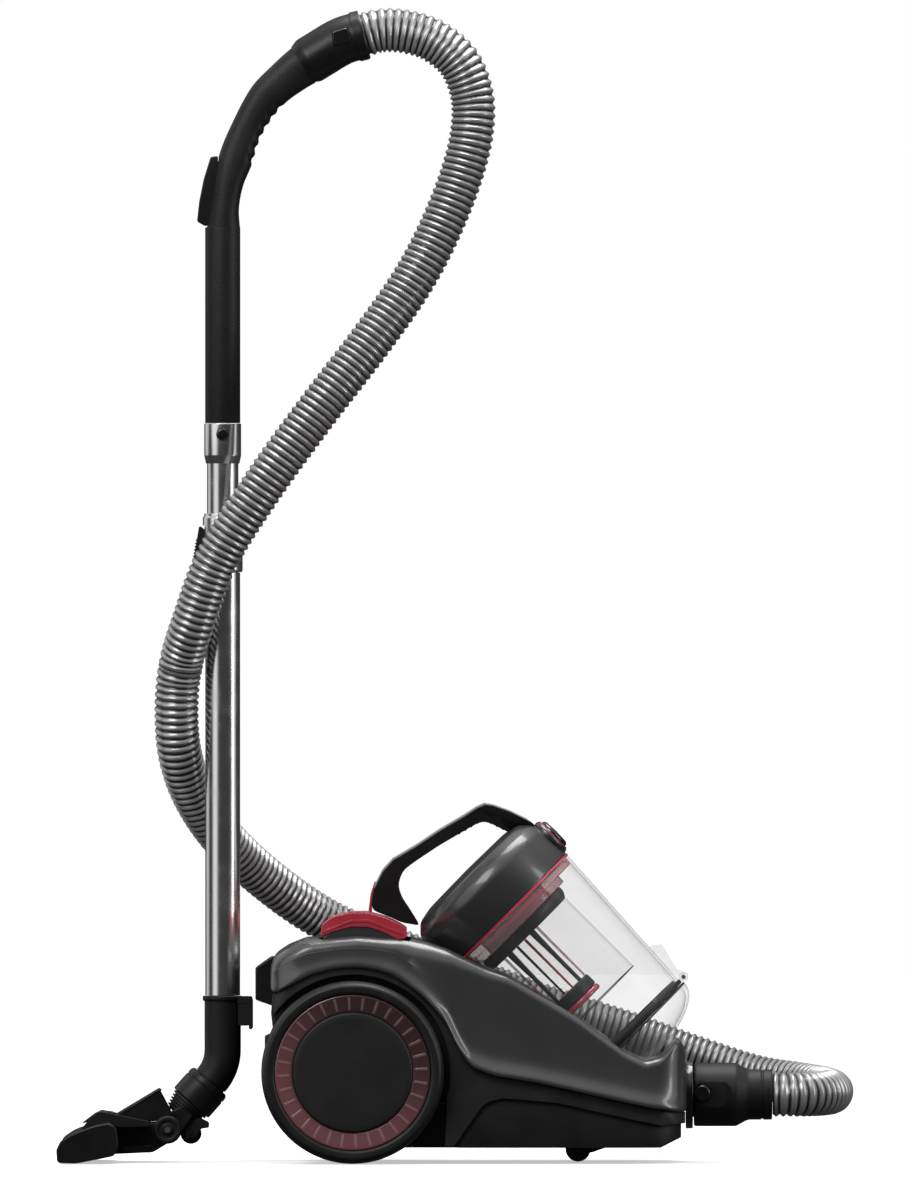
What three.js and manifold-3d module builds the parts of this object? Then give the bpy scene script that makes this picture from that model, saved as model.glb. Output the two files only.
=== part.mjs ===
// Canister vacuum cleaner: wheeled canister, clear dust cup with carry handle, ribbed hose,
// telescopic wand and floor head. Millimetres, +Z up, +X towards the hose inlet, Y across.
// The origin is on the floor, under the middle of the whole cleaner.
import * as THREE from 'three';
import Module from 'manifold-3d';
import { mergeVertices } from 'three/addons/utils/BufferGeometryUtils.js';

const wasm = await Module();
wasm.setup();

// ---- Driving dimensions ----
const GAP = 0.3;
const BODY_HALF = 125;
const CORE_HALF = 97;
const FRONT_HALF = 112;
const SKIN = 3.2;
const WHEEL = { x: -62, z: 91, radius: 91, inner: 101, outer: 141, ringOut: 77.5, hubOut: 60 };
const AXLE_RADIUS = 6;
const ARCH_RADIUS = 96;
const CASTER = { x: 163, z: 12.5, radius: 12.5, pivotX: 172, pocket: 29.5 };
const CUP = { seam: [94.5, 0, 248.3], topRadius: 82, rimRadius: 72, length: 175, wall: 2.5, dome: 28 };
const HEAD = { radius: 82.5, height: 58, chamfer: 12 };
const CAGE_OFFSET = 13;
const HANDLE_HALF = 15;
const INLET = { z: 67, faceX: 271.6, flange: 6.2, radius: 34 };
const CONNECTOR_END = 357.2;
const HOSE_RADIUS = 22.3;
const HOSE_SIDES = 12;
const HOSE_STEP = 38;
const WAND_X = -192.3;
const TUBE = { grip: 17.6, collar: 18.5, inner: 15.75, clasp: 20, lower: 17.45, elbow: 18.2 };
const NECK_START = [-204, 0, 81];
const NECK_AXIS = [-0.6645, 0, -0.7473];
const COLLAR = { radius: 23, length: 30 };
const PITCH = { x: -247, z: 32.4, wheel: 14 };
const HEAD_HALF = 135;

const SEGMENTS = 20;

const LOOKS = {
  body: [0x3d3d3f, 0.38, 0.1],
  black: [0x1b1b1c, 0.6, 0.0],
  tyre: [0x262626, 0.75, 0.0],
  red: [0xb02a3c, 0.35, 0.0],
  tinted: [0x8a4a52, 0.3, 0.0],
  clear: [0xdfe3e4, 0.08, 0.0],
  chrome: [0xc9cacc, 0.2, 1.0],
  hose: [0xa5a6a8, 0.45, 0.0],
  steel: [0x9a9ca0, 0.35, 1.0],
  board: [0x23543a, 0.6, 0.0],
  foam: [0xd9d7cf, 0.95, 0.0],
};

// ---- Making solids ----
function signedVolume(points, index) {
  const corner = [new THREE.Vector3(), new THREE.Vector3(), new THREE.Vector3()];
  let total = 0;
  for (let i = 0; i < index.length; i += 3) {
    corner.forEach((v, k) => v.fromArray(points, index[i + k] * 3));
    total += corner[0].dot(corner[1].cross(corner[2])) / 6;
  }
  return total;
}

function solid(geometry) {
  const bare = new THREE.BufferGeometry();
  bare.setAttribute('position', geometry.getAttribute('position'));
  if (geometry.index) bare.setIndex(geometry.index);
  const merged = mergeVertices(bare, 1e-3);
  const points = merged.getAttribute('position').array;
  const index = [];
  const source = merged.index.array;
  for (let i = 0; i < source.length; i += 3) {
    const [a, b, c] = [source[i], source[i + 1], source[i + 2]];
    if (a !== b && b !== c && c !== a) index.push(a, b, c);
  }
  if (signedVolume(points, index) < 0) index.reverse();
  const mesh = new wasm.Mesh({
    numProp: 3, vertProperties: new Float32Array(points), triVerts: new Uint32Array(index),
  });
  return new wasm.Manifold(mesh);
}

function joined(parts) {
  return parts.reduce((whole, part) => whole.add(part));
}

function cut(body, tools) {
  return tools.reduce((rest, tool) => rest.subtract(tool), body);
}

// An outline of [x, z] points, extruded across the cleaner from yLow to yHigh.
function slab(outline, yLow, yHigh) {
  const shape = new THREE.Shape(outline.map(([x, z]) => new THREE.Vector2(x, z)));
  const geometry = new THREE.ExtrudeGeometry(shape, {
    depth: yHigh - yLow, bevelEnabled: false, curveSegments: 12,
  });
  geometry.rotateX(Math.PI / 2);
  geometry.translate(0, yHigh, 0);
  return solid(geometry);
}

function box(low, high) {
  const size = high.map((value, i) => value - low[i]);
  const geometry = new THREE.BoxGeometry(...size);
  geometry.translate(...high.map((value, i) => (value + low[i]) / 2));
  return solid(geometry);
}

// A profile of [radius, distance along the axis] points, turned about an axis.
function turned(profile, start, axis, segments = SEGMENTS) {
  const points = profile.map(([r, t]) => new THREE.Vector2(r, t));
  const geometry = new THREE.LatheGeometry(points, segments);
  const direction = new THREE.Vector3(...axis).normalize();
  const turn = new THREE.Quaternion().setFromUnitVectors(new THREE.Vector3(0, 1, 0), direction);
  geometry.applyQuaternion(turn);
  geometry.translate(...start);
  return solid(geometry);
}

function rod(radius, from, to, start, axis, segments = 16) {
  return turned([[0, from], [radius, from], [radius, to], [0, to]], start, axis, segments);
}

function pipe(outer, inner, from, to, start, axis, segments = SEGMENTS) {
  const wall = [[inner, from], [outer, from], [outer, to], [inner, to], [inner, from]];
  return turned(wall, start, axis, segments);
}

// A round bar that follows a path of [x, y, z] points.
function swept(points, radius, sides, steps) {
  const path = new THREE.CatmullRomCurve3(points.map((p) => new THREE.Vector3(...p)), false, 'centripetal');
  const section = new THREE.Shape();
  for (let i = 0; i < sides; i += 1) {
    const angle = (i * 2 * Math.PI) / sides;
    const [x, y] = [radius * Math.cos(angle), radius * Math.sin(angle)];
    if (i === 0) section.moveTo(x, y);
    else section.lineTo(x, y);
  }
  section.closePath();
  const count = steps ?? Math.ceil(path.getLength() / HOSE_STEP);
  return solid(new THREE.ExtrudeGeometry(section, { steps: count, extrudePath: path, bevelEnabled: false }));
}

const UP = [0, 0, 1];
const ACROSS = [0, 1, 0];
const FORWARD = [1, 0, 0];
const HALF_ROOT = Math.SQRT1_2;
const CUP_AXIS = [HALF_ROOT, 0, -HALF_ROOT];

// A point at t along the cup's axis and r towards its upper side, in the middle plane.
function onCup(t, r = 0) {
  return [CUP.seam[0] + (t + r) * HALF_ROOT, 0, CUP.seam[2] + (r - t) * HALF_ROOT];
}

function flat([x, , z]) {
  return [x, z];
}

function cupTurned(profile, offset = 0, segments = SEGMENTS) {
  return turned(profile, onCup(0, -offset), CUP_AXIS, segments);
}

const model = new THREE.Group();

function piece(name, body, look) {
  const mesh = body.getMesh();
  const geometry = new THREE.BufferGeometry();
  geometry.setAttribute('position', new THREE.BufferAttribute(new Float32Array(mesh.vertProperties), 3));
  geometry.setIndex(Array.from(mesh.triVerts));
  const [color, roughness, metalness] = LOOKS[look];
  const result = new THREE.Mesh(geometry, new THREE.MeshStandardMaterial({ color, roughness, metalness }));
  result.name = name;
  model.add(result);
}

// Both sides of the cleaner: -1 is the near side, +1 the far side.
function eachSide(make) {
  make('near', -1);
  make('far', 1);
}

function sideSlab(outline, side, inner, outer) {
  return side < 0 ? slab(outline, -outer, -inner) : slab(outline, inner, outer);
}

// ---- Canister: housing and chassis ----
const TOP_LINE = [
  [-144, 150], [-141, 207], [-108, 225], [-94, 224], [-74, 226], [-57, 228], [-34, 225.5], [-9, 225.5],
  [34, 213], [70, 195], [93, 188], [121, 170], [144, 157], [165, 144], [182, 131], [210, 111],
  [230, 101], [246, 106], [255, 117], [262, 126], [268, 118], [271.2, 108],
];
const LOWER_EDGE = [[271.2, 42], [247, 38], [144, 60.8], [87, 65.8], [67, 57.8], [39, 17], [30, 17]];

// Seen from above, the nose narrows in a curve: [x, half width] from the straight sides to the front.
const NOSE_PLAN = [[200, 125], [225, 122], [245, 113], [258, 101], [266, 88], [271.2, 68]];

function planBlock(inset) {
  const front = INLET.faceX - 0.4 - inset;
  const near = [[-200, BODY_HALF], ...NOSE_PLAN].map(([x, y]) => [Math.min(x, front), y - inset]);
  const shape = new THREE.Shape([
    ...near.map(([x, y]) => new THREE.Vector2(x, -y)),
    ...near.reverse().map(([x, y]) => new THREE.Vector2(x, y)),
  ]);
  const geometry = new THREE.ExtrudeGeometry(shape, { depth: 320, bevelEnabled: false });
  geometry.translate(0, 0, -20);
  return solid(geometry);
}

function cradleTool(clearance) {
  const outer = CUP.topRadius + clearance;
  const rim = CUP.rimRadius + 2 + clearance;
  const profile = [[0, -90], [outer, -90], [outer, 2], [rim, CUP.length + 1]];
  const steps = 6;
  for (let i = 1; i <= steps; i += 1) {
    const angle = (i / steps) * (Math.PI / 2);
    profile.push([rim * Math.cos(angle), CUP.length + 1 + (CUP.dome + clearance) * Math.sin(angle)]);
  }
  profile[profile.length - 1][0] = 0;
  return cupTurned(profile, 0, 32);
}

// Everything straight above the cup's axis, so that the cup lifts out upwards.
function liftWay(half, start, end) {
  const from = flat(onCup(start));
  const to = flat(onCup(end));
  return slab([from, to, [to[0], 420], [from[0], 420]], -half, half);
}

function makeHousing() {
  const outline = [[-128, 62.8], [-138, 100], ...TOP_LINE, ...LOWER_EDGE];
  const outer = slab(outline, -BODY_HALF, BODY_HALF).intersect(planBlock(0));
  const tools = [box([-170, -100.3, -5], [70, 100.3, 62.8])];
  eachSide((_, side) => {
    const low = side < 0 ? -BODY_HALF - 5 : 100;
    tools.push(rod(ARCH_RADIUS, low, low + BODY_HALF - 95, [WHEEL.x, 0, WHEEL.z], ACROSS, 28));
    tools.push(sideSlab([[-96, 216], [-96, 260], [-4, 260], [-4, 216]], side, 33, 101));
    tools.push(sideSlab([[-170, -5], [-170, 62.8], [-62, 62.8], [-62, -5]], side, 100, BODY_HALF + 5));
  });
  tools.push(rod(AXLE_RADIUS + 2, -130, 130, [WHEEL.x, 0, WHEEL.z], ACROSS, 12));
  tools.push(cradleTool(2.5), liftWay(85, -90, 60), liftWay(79, 55, CUP.length + 30));
  const inset = [
    [-122, 40], [-134, 100], [-139, 150], [-137, 203], [-107, 212], [-9, 211], [34, 208], [70, 190],
    [93, 183], [121, 165], [144, 152], [165, 139], [182, 126], [210, 106], [229, 96], [248, 100],
    [257, 112], [266, 105], [267.5, 38], [247, 30], [144, 30], [87, 30], [67, 30], [36, 5],
  ];
  const middle = slab(inset, -96.6, 96.6);
  const frontInset = [[50, 5], [50, 200], ...inset.filter(([x]) => x > 60)];
  const cheeks = slab(frontInset, -BODY_HALF + 4, BODY_HALF - 4).intersect(planBlock(4));
  const wallOfCradle = [cradleTool(2.5 + SKIN), liftWay(88.5, -90, 60), liftWay(82.5, 55, CUP.length + 40)];
  const noseWall = box([200, -140, 0], [280, 140, 66]);
  const archWall = rod(ARCH_RADIUS + 3.5, -140, 140, [WHEEL.x, 0, WHEEL.z], ACROSS, 28);
  tools.push(cut(middle, [...wallOfCradle, noseWall]));
  tools.push(cut(cheeks, [...wallOfCradle, noseWall, archWall]));
  piece('upper_housing', cut(outer, tools), 'body');
}

function makeChassis() {
  const core = [
    [-128, 62.3], [-124, 35], [-110, 18], [-90, 15.5], [245, 15.5], [258, 24], [271.2, 27],
    [271.2, 40.5], [247, 36.5], [144, 59.5], [87, 64.5], [70, 62.3],
  ];
  const wide = [[46, 15.5], [245, 15.5], [258, 24], [271.2, 27], [271.2, 40.5], [247, 36.5],
    [144, 59.5], [87, 64.5], [67, 56.3], [46, 26]];
  const nosePlan = planBlock(0.6).intersect(slab(wide, -FRONT_HALF, FRONT_HALF));
  const shell = slab(core, -CORE_HALF, CORE_HALF).intersect(planBlock(0.6)).add(nosePlan);
  const inside = [[-124.5, 80], [-120.5, 37], [-108, 21], [-88, 18.5], [243, 18.5], [256, 27], [258, 80]];
  const insideWide = [[49.5, 18.5], [243, 18.5], [256, 27], [258, 80], [49.5, 80]];
  const pocket = pipe(CASTER.pocket + 2.5, 4.4, 28.5, 31.5, [CASTER.pivotX, 0, 0], UP);
  const wall = pipe(CASTER.pocket + 2.5, CASTER.pocket, 15.5, 31.5, [CASTER.pivotX, 0, 0], UP);
  let tray = cut(shell, [
    slab(inside, -CORE_HALF + SKIN, CORE_HALF - SKIN).intersect(planBlock(SKIN + 0.6)),
    slab(insideWide, -FRONT_HALF + SKIN, FRONT_HALF - SKIN).intersect(planBlock(SKIN + 0.6)),
    rod(CASTER.pocket, 10, 20, [CASTER.pivotX, 0, 0], UP, SEGMENTS),
  ]);
  tray = joined([tray, pocket, wall]);
  eachSide((_, side) => {
    const post = [[WHEEL.x - 14, 17], [WHEEL.x + 14, 17], [WHEEL.x + 10, 104], [WHEEL.x - 10, 104]];
    tray = tray.add(sideSlab(post, side, 80, 92.5));
  });
  tray = tray.subtract(rod(AXLE_RADIUS + GAP, -110, 110, [WHEEL.x, 0, WHEEL.z], ACROSS));
  piece('lower_chassis', tray, 'black');
  piece('main_axle', rod(AXLE_RADIUS, -139, 139, [WHEEL.x, 0, WHEEL.z], ACROSS), 'steel');
}

function makeSocket() {
  const block = slab([[-159.5, 194], [-144.3, 205], [-145.6, 157], [-159.5, 162]], -24, 24);
  const slot = box([-156.2, -15, 168], [-149.5, 15, 230]);
  piece('parking_socket', block.subtract(slot), 'black');
  const gland = [[4.5, 0], [9, 0], [9, 4], [7, 8], [4.5, 8], [4.5, 0]];
  piece('cord_outlet', turned(gland, [-142.6, 60, 118], [-1, 0, 0], 24), 'black');
}

// ---- Canister: wheels ----
function makeWheel(label, side) {
  const at = [WHEEL.x, 0, WHEEL.z];
  const out = [0, side, 0];
  const { radius, inner, outer, ringOut, hubOut } = WHEEL;
  const tread = [
    [ringOut + GAP, inner + 3], [86, inner], [radius - 2, inner + 2], [radius, inner + 6],
    [radius, outer - 7], [radius - 3, outer - 2], [86, outer], [ringOut + GAP, outer - 1],
  ];
  piece(`tyre_${label}`, turned([...tread, tread[0]], at, out, 28), 'tyre');
  piece(`wheel_ring_${label}`, pipe(ringOut, hubOut + GAP, inner + 12, outer - 1.5, at, out, 28), 'tinted');
  const hub = [
    [AXLE_RADIUS + GAP, inner], [20, inner], [20, inner + 14], [hubOut, inner + 14],
    [hubOut, outer - 3], [hubOut - 2, outer - 1], [0, outer - 1],
  ];
  const disc = turned([[0, inner], ...hub], at, out, 28);
  const bore = rod(AXLE_RADIUS + GAP, 90, 139.5, at, out);
  piece(`wheel_hub_${label}`, disc.subtract(bore), 'black');
}

function makeCaster() {
  const { x, z, radius, pivotX } = CASTER;
  const roll = [[0, -13], [2.5, -13], [2.5, -8], [radius, -8], [radius, 8], [2.5, 8], [2.5, 13], [0, 13]];
  piece('caster_wheel', turned(roll, [x, 0, z], ACROSS, 24), 'tyre');
  const cheek = [[154, 27], [155, 9], [163, 6.5], [178, 9.5], [195, 15.5], [195, 27]];
  let fork = rod(27, 25.8, 28.1, [pivotX, 0, 0], UP, SEGMENTS).add(rod(4, 27, 37, [pivotX, 0, 0], UP, 16));
  eachSide((_, side) => {
    fork = fork.add(sideSlab(cheek, side, 8.6, 12));
  });
  piece('caster_fork', fork.subtract(rod(2.5 + GAP, -14, 14, [x, 0, z], ACROSS, 16)), 'black');
}

// ---- Canister: what is inside ----
const MOTOR = { at: [12, 0, 112] };
const REEL = { at: [-80, 0, 152], flange: 46, cord: 42, spindle: 7.5 };

function makeInside() {
  const casing = [[4.4, -62], [24, -62], [24, -54], [42, -50], [45.5, 14], [45.5, 42], [20, 42], [20, 39],
    [42.5, 37], [42.5, 18], [4.4, 18], [4.4, -62]];
  piece('motor_body', turned(casing, MOTOR.at, ACROSS), 'steel');
  const fan = [[0, -60], [4, -60], [4, 20], [40, 22], [40, 25], [12, 27], [12, 36], [0, 36]];
  piece('fan_impeller', turned(fan, MOTOR.at, ACROSS), 'steel');
  const { flange, cord, spindle } = REEL;
  const spool = [[0, -60], [spindle, -60], [spindle, -34], [flange, -34], [flange, -31], [cord, -30],
    [cord, 30], [flange, 31], [flange, 34], [spindle, 34], [spindle, 60], [0, 60]];
  piece('cord_reel', turned(spool, REEL.at, ACROSS), 'black');
  piece('exhaust_filter', box([-104, -62, 22], [-24, 62, 42]), 'foam');
  piece('control_board', box([58, -50, 78], [112, 50, 80]), 'board');
}

const PEDAL_LINE = [
  [-93, 220.4], [-93, 239], [-82, 246], [-65, 250], [-47, 250], [-28, 244], [-18, 239], [-8, 233],
  [-8, 220.4],
];
const PEDAL = { inner: 36, outer: 98 };

function makePedals() {
  piece('power_pedal', slab(PEDAL_LINE, -PEDAL.outer, -PEDAL.inner), 'red');
  piece('rewind_pedal', slab(PEDAL_LINE, PEDAL.inner, PEDAL.outer), 'red');
}

// ---- Dust cup ----
function domeLine(radius, height, base, steps, inward) {
  const line = [];
  for (let i = 0; i <= steps; i += 1) {
    const angle = (i / steps) * (Math.PI / 2);
    line.push([i === steps ? 0 : radius * Math.cos(angle), base + height * Math.sin(angle)]);
  }
  return inward ? line.reverse() : line;
}

const HINGE = { x: 268.4, z: 184.7, radius: 3.5 };

function makeCup() {
  const { topRadius, rimRadius, length, wall, dome } = CUP;
  const glass = [
    [topRadius - wall, GAP], [topRadius, GAP], [rimRadius, length - 4], [rimRadius - wall, length - 4],
    [topRadius - wall, GAP],
  ];
  const ear = [flat(onCup(118, 74)), flat(onCup(128, 88)), [HINGE.x - 7, HINGE.z + 7],
    [HINGE.x + 4.8, HINGE.z + 4.8], [HINGE.x + 4.8, HINGE.z - 3], flat(onCup(168, 71.5))];
  const hingeBore = rod(2.3, -40, 40, [HINGE.x, 0, HINGE.z], ACROSS, 16);
  const inside = cupTurned([[0, -5], [topRadius - wall, -5], [topRadius - wall, GAP],
    [rimRadius - wall, length - 4], [rimRadius - wall, 200], [0, 200]]);
  let jar = cupTurned(glass, 0, 28);
  eachSide((_, side) => {
    jar = jar.add(cut(sideSlab(ear, side, 9, 12), [inside]));
  });
  piece('dust_cup', jar.subtract(hingeBore), 'clear');
  const rim = length - 3.5;
  const lid = cupTurned([
    ...domeLine(rimRadius + 2, dome, length + 0.5, 7, false).reverse(),
    [rimRadius + 2, rim], [rimRadius - wall, rim],
    ...domeLine(rimRadius - wall, dome - wall, length + 0.5, 7, false),
  ], 0, 28);
  const knuckle = [flat(onCup(length - 3, 72)), [HINGE.x - 4, HINGE.z + 1], [HINGE.x, HINGE.z + 4.2],
    [HINGE.x + 4.2, HINGE.z], flat(onCup(length + 5, 72.5))];
  const barrel = slab(knuckle, -8.6, 8.6).add(rod(4.2, -8.6, 8.6, [HINGE.x, 0, HINGE.z], ACROSS, 16));
  const bore = rimRadius - wall + 0.1;
  const hollow = cupTurned([[0, rim - 20], [bore, rim - 20], [bore, length + 0.5], [0, length + 0.5]]);
  const jarRoom = cupTurned([[0, 60], [90, 60], [76, rim - 0.6], [0, rim - 0.6]]);
  piece('cup_lid', cut(lid.add(cut(barrel, [hollow])), [hingeBore, jarRoom]), 'clear');
  piece('lid_pin', rod(2, -14, 14, [HINGE.x, 0, HINGE.z], ACROSS, 16), 'steel');
  const seat = rimRadius - wall - 1;
  piece('rim_gasket', pipe(seat, seat - 4, length - 12, rim - GAP, CUP.seam, CUP_AXIS), 'black');
}

function makeFilter() {
  piece('inner_sleeve', pipe(50.5, 48.5, 29.4, 125, CUP.seam, CUP_AXIS), 'clear');
  const steps = [[42, 1], [78.5, 1], [78.5, 8], [61, 8], [61, 16], [42, 16], [42, 1]];
  piece('filter_flange', cupTurned(steps), 'red');
  const flange = pipe(54, 20, 16.3, 29, CUP.seam, CUP_AXIS);
  let cage = flange.add(cupTurned([[0, 97], [24, 97], [24, 110], [25, 110], [25, 116],
    [0, 116]], CAGE_OFFSET));
  const posts = 8;
  for (let i = 0; i < posts; i += 1) {
    const angle = ((i + 0.5) * 2 * Math.PI) / posts;
    const middle = onCup(0, -CAGE_OFFSET + 22 * Math.cos(angle));
    middle[1] = 22 * Math.sin(angle);
    cage = cage.add(turned([[0, 28], [2.6, 28], [2.2, 98], [0, 98]], middle, CUP_AXIS, 8));
  }
  piece('filter_cage', cage, 'black');
  piece('filter_mesh', pipe(18, 17, 29.4, 96.6, onCup(0, -CAGE_OFFSET), CUP_AXIS), 'foam');
}

const HANDLE_OUTER = [
  [-13, 239], [-26, 245], [-43, 251.5], [-43, 263], [-41, 275], [-32, 292], [-22, 303], [0, 316], [24, 332],
  [48, 346], [62, 355], [69, 358], [77, 357], [94, 351], [109, 344], [122, 336],
];
const HANDLE_INNER = [
  [108, 322], [88, 332], [76, 338], [69, 340], [62, 338], [48, 330], [24, 316], [0, 300], [-12, 291],
  [-17, 277],
  [-13.5, 265], [-4, 251], [5, 236],
];
const BUTTON = { at: [138, 0, 326.5], radius: 16.5 };

function makeHead() {
  const { radius, height, chamfer } = HEAD;
  const shell = cupTurned([
    [0, -height - 3], [radius - 26, -height - 2], [radius - chamfer, -height + 2],
    [radius - 3, -height + chamfer], [radius, -height + 20], [radius, -GAP], [radius - 3, -GAP],
    [radius - 3, -height + 16], [radius - chamfer - 2, -height + 6], [0, -height + 1],
  ], 0, 28);
  const seat = rod(BUTTON.radius + 0.6, -9, 20, BUTTON.at, [1, 0, 1], 20);
  const boss = turned([[0, -30], [BUTTON.radius + 4, -30], [BUTTON.radius + 4, -1],
    [BUTTON.radius + 3, 0], [0, 0]],
    BUTTON.at, [1, 0, 1], 20);
  const room = cupTurned([[0, -height + 1], [radius - chamfer - 2, -height + 6], [radius - 3, -height + 16],
    [radius - 3, 60], [0, 60]], 0, 28);
  const post = cut(boss, [room]);
  piece('cyclone_head', cut(shell.add(post), [seat]), 'body');
  const clearOfHead = cupTurned([
    [0, -height - 3.3], [radius - 26, -height - 2.3], [radius - chamfer + 0.2, -height + 1.7],
    [radius - 2.8, -height + chamfer - 0.2], [radius + GAP, -height + 20], [radius + GAP, 90], [0, 90],
  ], 0, 28);
  const arm = slab([...HANDLE_OUTER, ...HANDLE_INNER], -HANDLE_HALF, HANDLE_HALF);
  const buttonRoom = rod(BUTTON.radius + 4.4, -40, 40, BUTTON.at, [1, 0, 1], 20);
  piece('carry_handle', cut(arm, [clearOfHead, buttonRoom]), 'black');
  const cap = [[0, -5], [BUTTON.radius, -5], [BUTTON.radius, 2], [BUTTON.radius - 3, 4.5], [0, 5]];
  piece('release_button', turned(cap, BUTTON.at, [1, 0, 1], 20), 'black');
}

// ---- Hose inlet and connector ----
const LATCH = { x: 287, z: 68.6, radius: 8 };

function makeInlet() {
  const at = [INLET.faceX, 0, INLET.z];
  piece('inlet_ring', pipe(INLET.radius, 22.4, 0, INLET.flange, at, FORWARD), 'black');
  const from = INLET.faceX + INLET.flange + 1;
  const big = 31.7;
  const small = 25;
  const bore = 17.5;
  const spigot = 22;
  const outline = [
    [bore, INLET.faceX + 1], [spigot, INLET.faceX + 1], [spigot, from], [big, from], [big, 321],
    [small + 1, 331],
    [small, 333], [small, CONNECTOR_END], [bore, CONNECTOR_END], [bore, INLET.faceX + 1],
  ];
  let connector = turned(outline, [0, 0, INLET.z], FORWARD);
  eachSide((_, side) => {
    const low = side < 0 ? -40 : 26.5;
    const seat = rod(LATCH.radius + 0.5, low, low + 13.5, [LATCH.x, 0, LATCH.z], ACROSS, 16);
    connector = connector.subtract(seat);
  });
  piece('hose_connector', connector, 'black');
  eachSide((label, side) => {
    const cap = [[0, 29], [LATCH.radius, 29], [LATCH.radius, 32], [LATCH.radius - 2, 33], [0, 33]];
    piece(`latch_button_${label}`, turned(cap, [LATCH.x, 0, LATCH.z], [0, side, 0], 16), 'black');
  });
}

// ---- Hose: the route is laid by hand, from the connector round the back and up to the handle ----
const HOSE_LOWER = [
  [357.6, 0, 67], [372, 0, 67], [391, 7, 67], [408, 27, 67.5], [417, 58, 69], [408, 94, 72],
  [382, 122, 76], [345, 140, 82], [285, 152, 101], [212, 157, 127], [125, 157, 155], [72, 157, 175],
  [-8, 156, 206], [-88, 150, 239],
  [-150, 118, 282], [-196, 78, 327], [-224, 40, 372], [-236, 14, 412], [-238.5, 0, 452],
  [-236.6, -6.3, 482.8], [-234.5, -10, 494],
];
const HOSE_UPPER = [
  [-234.4, -10.15, 494.45], [-232.4, -13.7, 505.2], [-222, -30, 538], [-199, -46, 600],
  [-154, -54, 672], [-100, -48, 747], [-42, -34, 823], [-2, -22, 881], [24, -14, 930], [46, -7, 985],
  [57, -3, 1030], [57, 0, 1066], [44, 0, 1099], [18, 0, 1121],
  [-10, 0, 1130], [-33.5, 0, 1131], [-52, 0, 1126.5],
];

function makeHose() {
  piece('hose_lower', swept(HOSE_LOWER, HOSE_RADIUS, HOSE_SIDES), 'hose');
  piece('hose_upper', swept(HOSE_UPPER, HOSE_RADIUS, HOSE_SIDES), 'hose');
}

// ---- Wand ----
const CUFF_PATH = [[-113, 0, 1096.5], [-96, 0, 1107], [-72, 0, 1120.8], [-53.2, 0, 1126.1]];
const CUFF = { radius: 24, lip: 25.7, bore: 16, end: [0.9624, 0, 0.2717] };
const CUFF_BUTTON = [[-81, 1115], [-66, 1118.5], [-63.5, 1125], [-69, 1133.5], [-83, 1129.5]];
const GRIP_OUTER = [
  [-124, 1113], [-145, 1094], [-163, 1075], [-184, 1036], [-196, 1006], [-204, 961], [-210, 935],
  [-210, 930],
];
const GRIP_INNER = [
  [-174.6, 930], [-176, 952], [-172, 975], [-163, 997], [-153, 1026], [-131, 1057], [-114, 1070],
  [-103.5, 1076.5],
];

function makeHandle() {
  const grip = slab([...GRIP_OUTER, ...GRIP_INNER], -17, 17);
  const start = [WAND_X, 0, 0];
  const tube = rod(TUBE.grip, 738.4, 932, start, UP, 20);
  const slot = box([-230, -6.3, 932], [-199.5, 6.3, 1008]);
  const passage = rod(13, 700, 925, start, UP, 16);
  piece('handle_grip', cut(grip.add(tube), [slot, passage]), 'black');
  const slider = [[-204, 1002], [-218, 939], [-209, 935], [-200, 942], [-200, 1001]];
  piece('suction_slider', slab(slider, -6, 6), 'black');
}

function makeCuff() {
  const end = CUFF_PATH[CUFF_PATH.length - 1];
  const lip = pipe(CUFF.lip, CUFF.bore, -10, -0.2, end, CUFF.end, 16);
  const tube = swept(CUFF_PATH, CUFF.radius, 16, 5).add(lip);
  const long = [[-121.6, 0, 1091.3], ...CUFF_PATH, [-43.6, 0, 1128.8]];
  const grown = CUFF_BUTTON.map(([x, z]) => [(x + 73) * 1.06 - 73, (z - 1124) * 1.06 + 1124]);
  const pocket = slab(grown, -30, -17.6);
  piece('hose_cuff', cut(tube, [swept(long, CUFF.bore, 12, 7), pocket]), 'black');
  piece('cuff_button', slab(CUFF_BUTTON, -24.4, -19.6), 'black');
}

function makeWand() {
  const start = [WAND_X, 0, 0];
  const collar = [[TUBE.inner + GAP, 698], [16.8, 698], [TUBE.collar, 706], [TUBE.collar, 738],
    [TUBE.inner + GAP, 738],
    [TUBE.inner + GAP, 698]];
  const buttonHole = rod(6.4, -30, 0, [WAND_X, 0, 727], ACROSS, 20);
  piece('wand_collar', turned(collar, start, UP, 20).subtract(buttonHole), 'chrome');
  piece('inner_tube', pipe(TUBE.inner, 14.6, 320, 737.6, start, UP, 20).subtract(buttonHole), 'chrome');
  piece('snap_button', rod(6, -20, -16.2, [WAND_X, 0, 727], ACROSS, 20), 'black');
  const clasp = [[TUBE.inner + 0.6, 589.4], [TUBE.clasp, 589.4], [TUBE.clasp, 645], [18.6, 645.2],
    [18.6, 648],
    [TUBE.inner + 0.6, 648], [TUBE.inner + 0.6, 589.4]];
  const slideWay = box([-232, -8.3, 592.5], [-208.5, 8.3, 636]);
  piece('clasp_sleeve', turned(clasp, start, UP, 20).subtract(slideWay), 'chrome');
  piece('lock_slider', slab([[-222, 599], [-209, 599], [-209, 631], [-214, 635],
    [-216, 635]], -8, 8), 'black');
  piece('lower_tube', pipe(TUBE.lower, 16.35, 166.3, 589, start, UP, 20), 'chrome');
}

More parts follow.
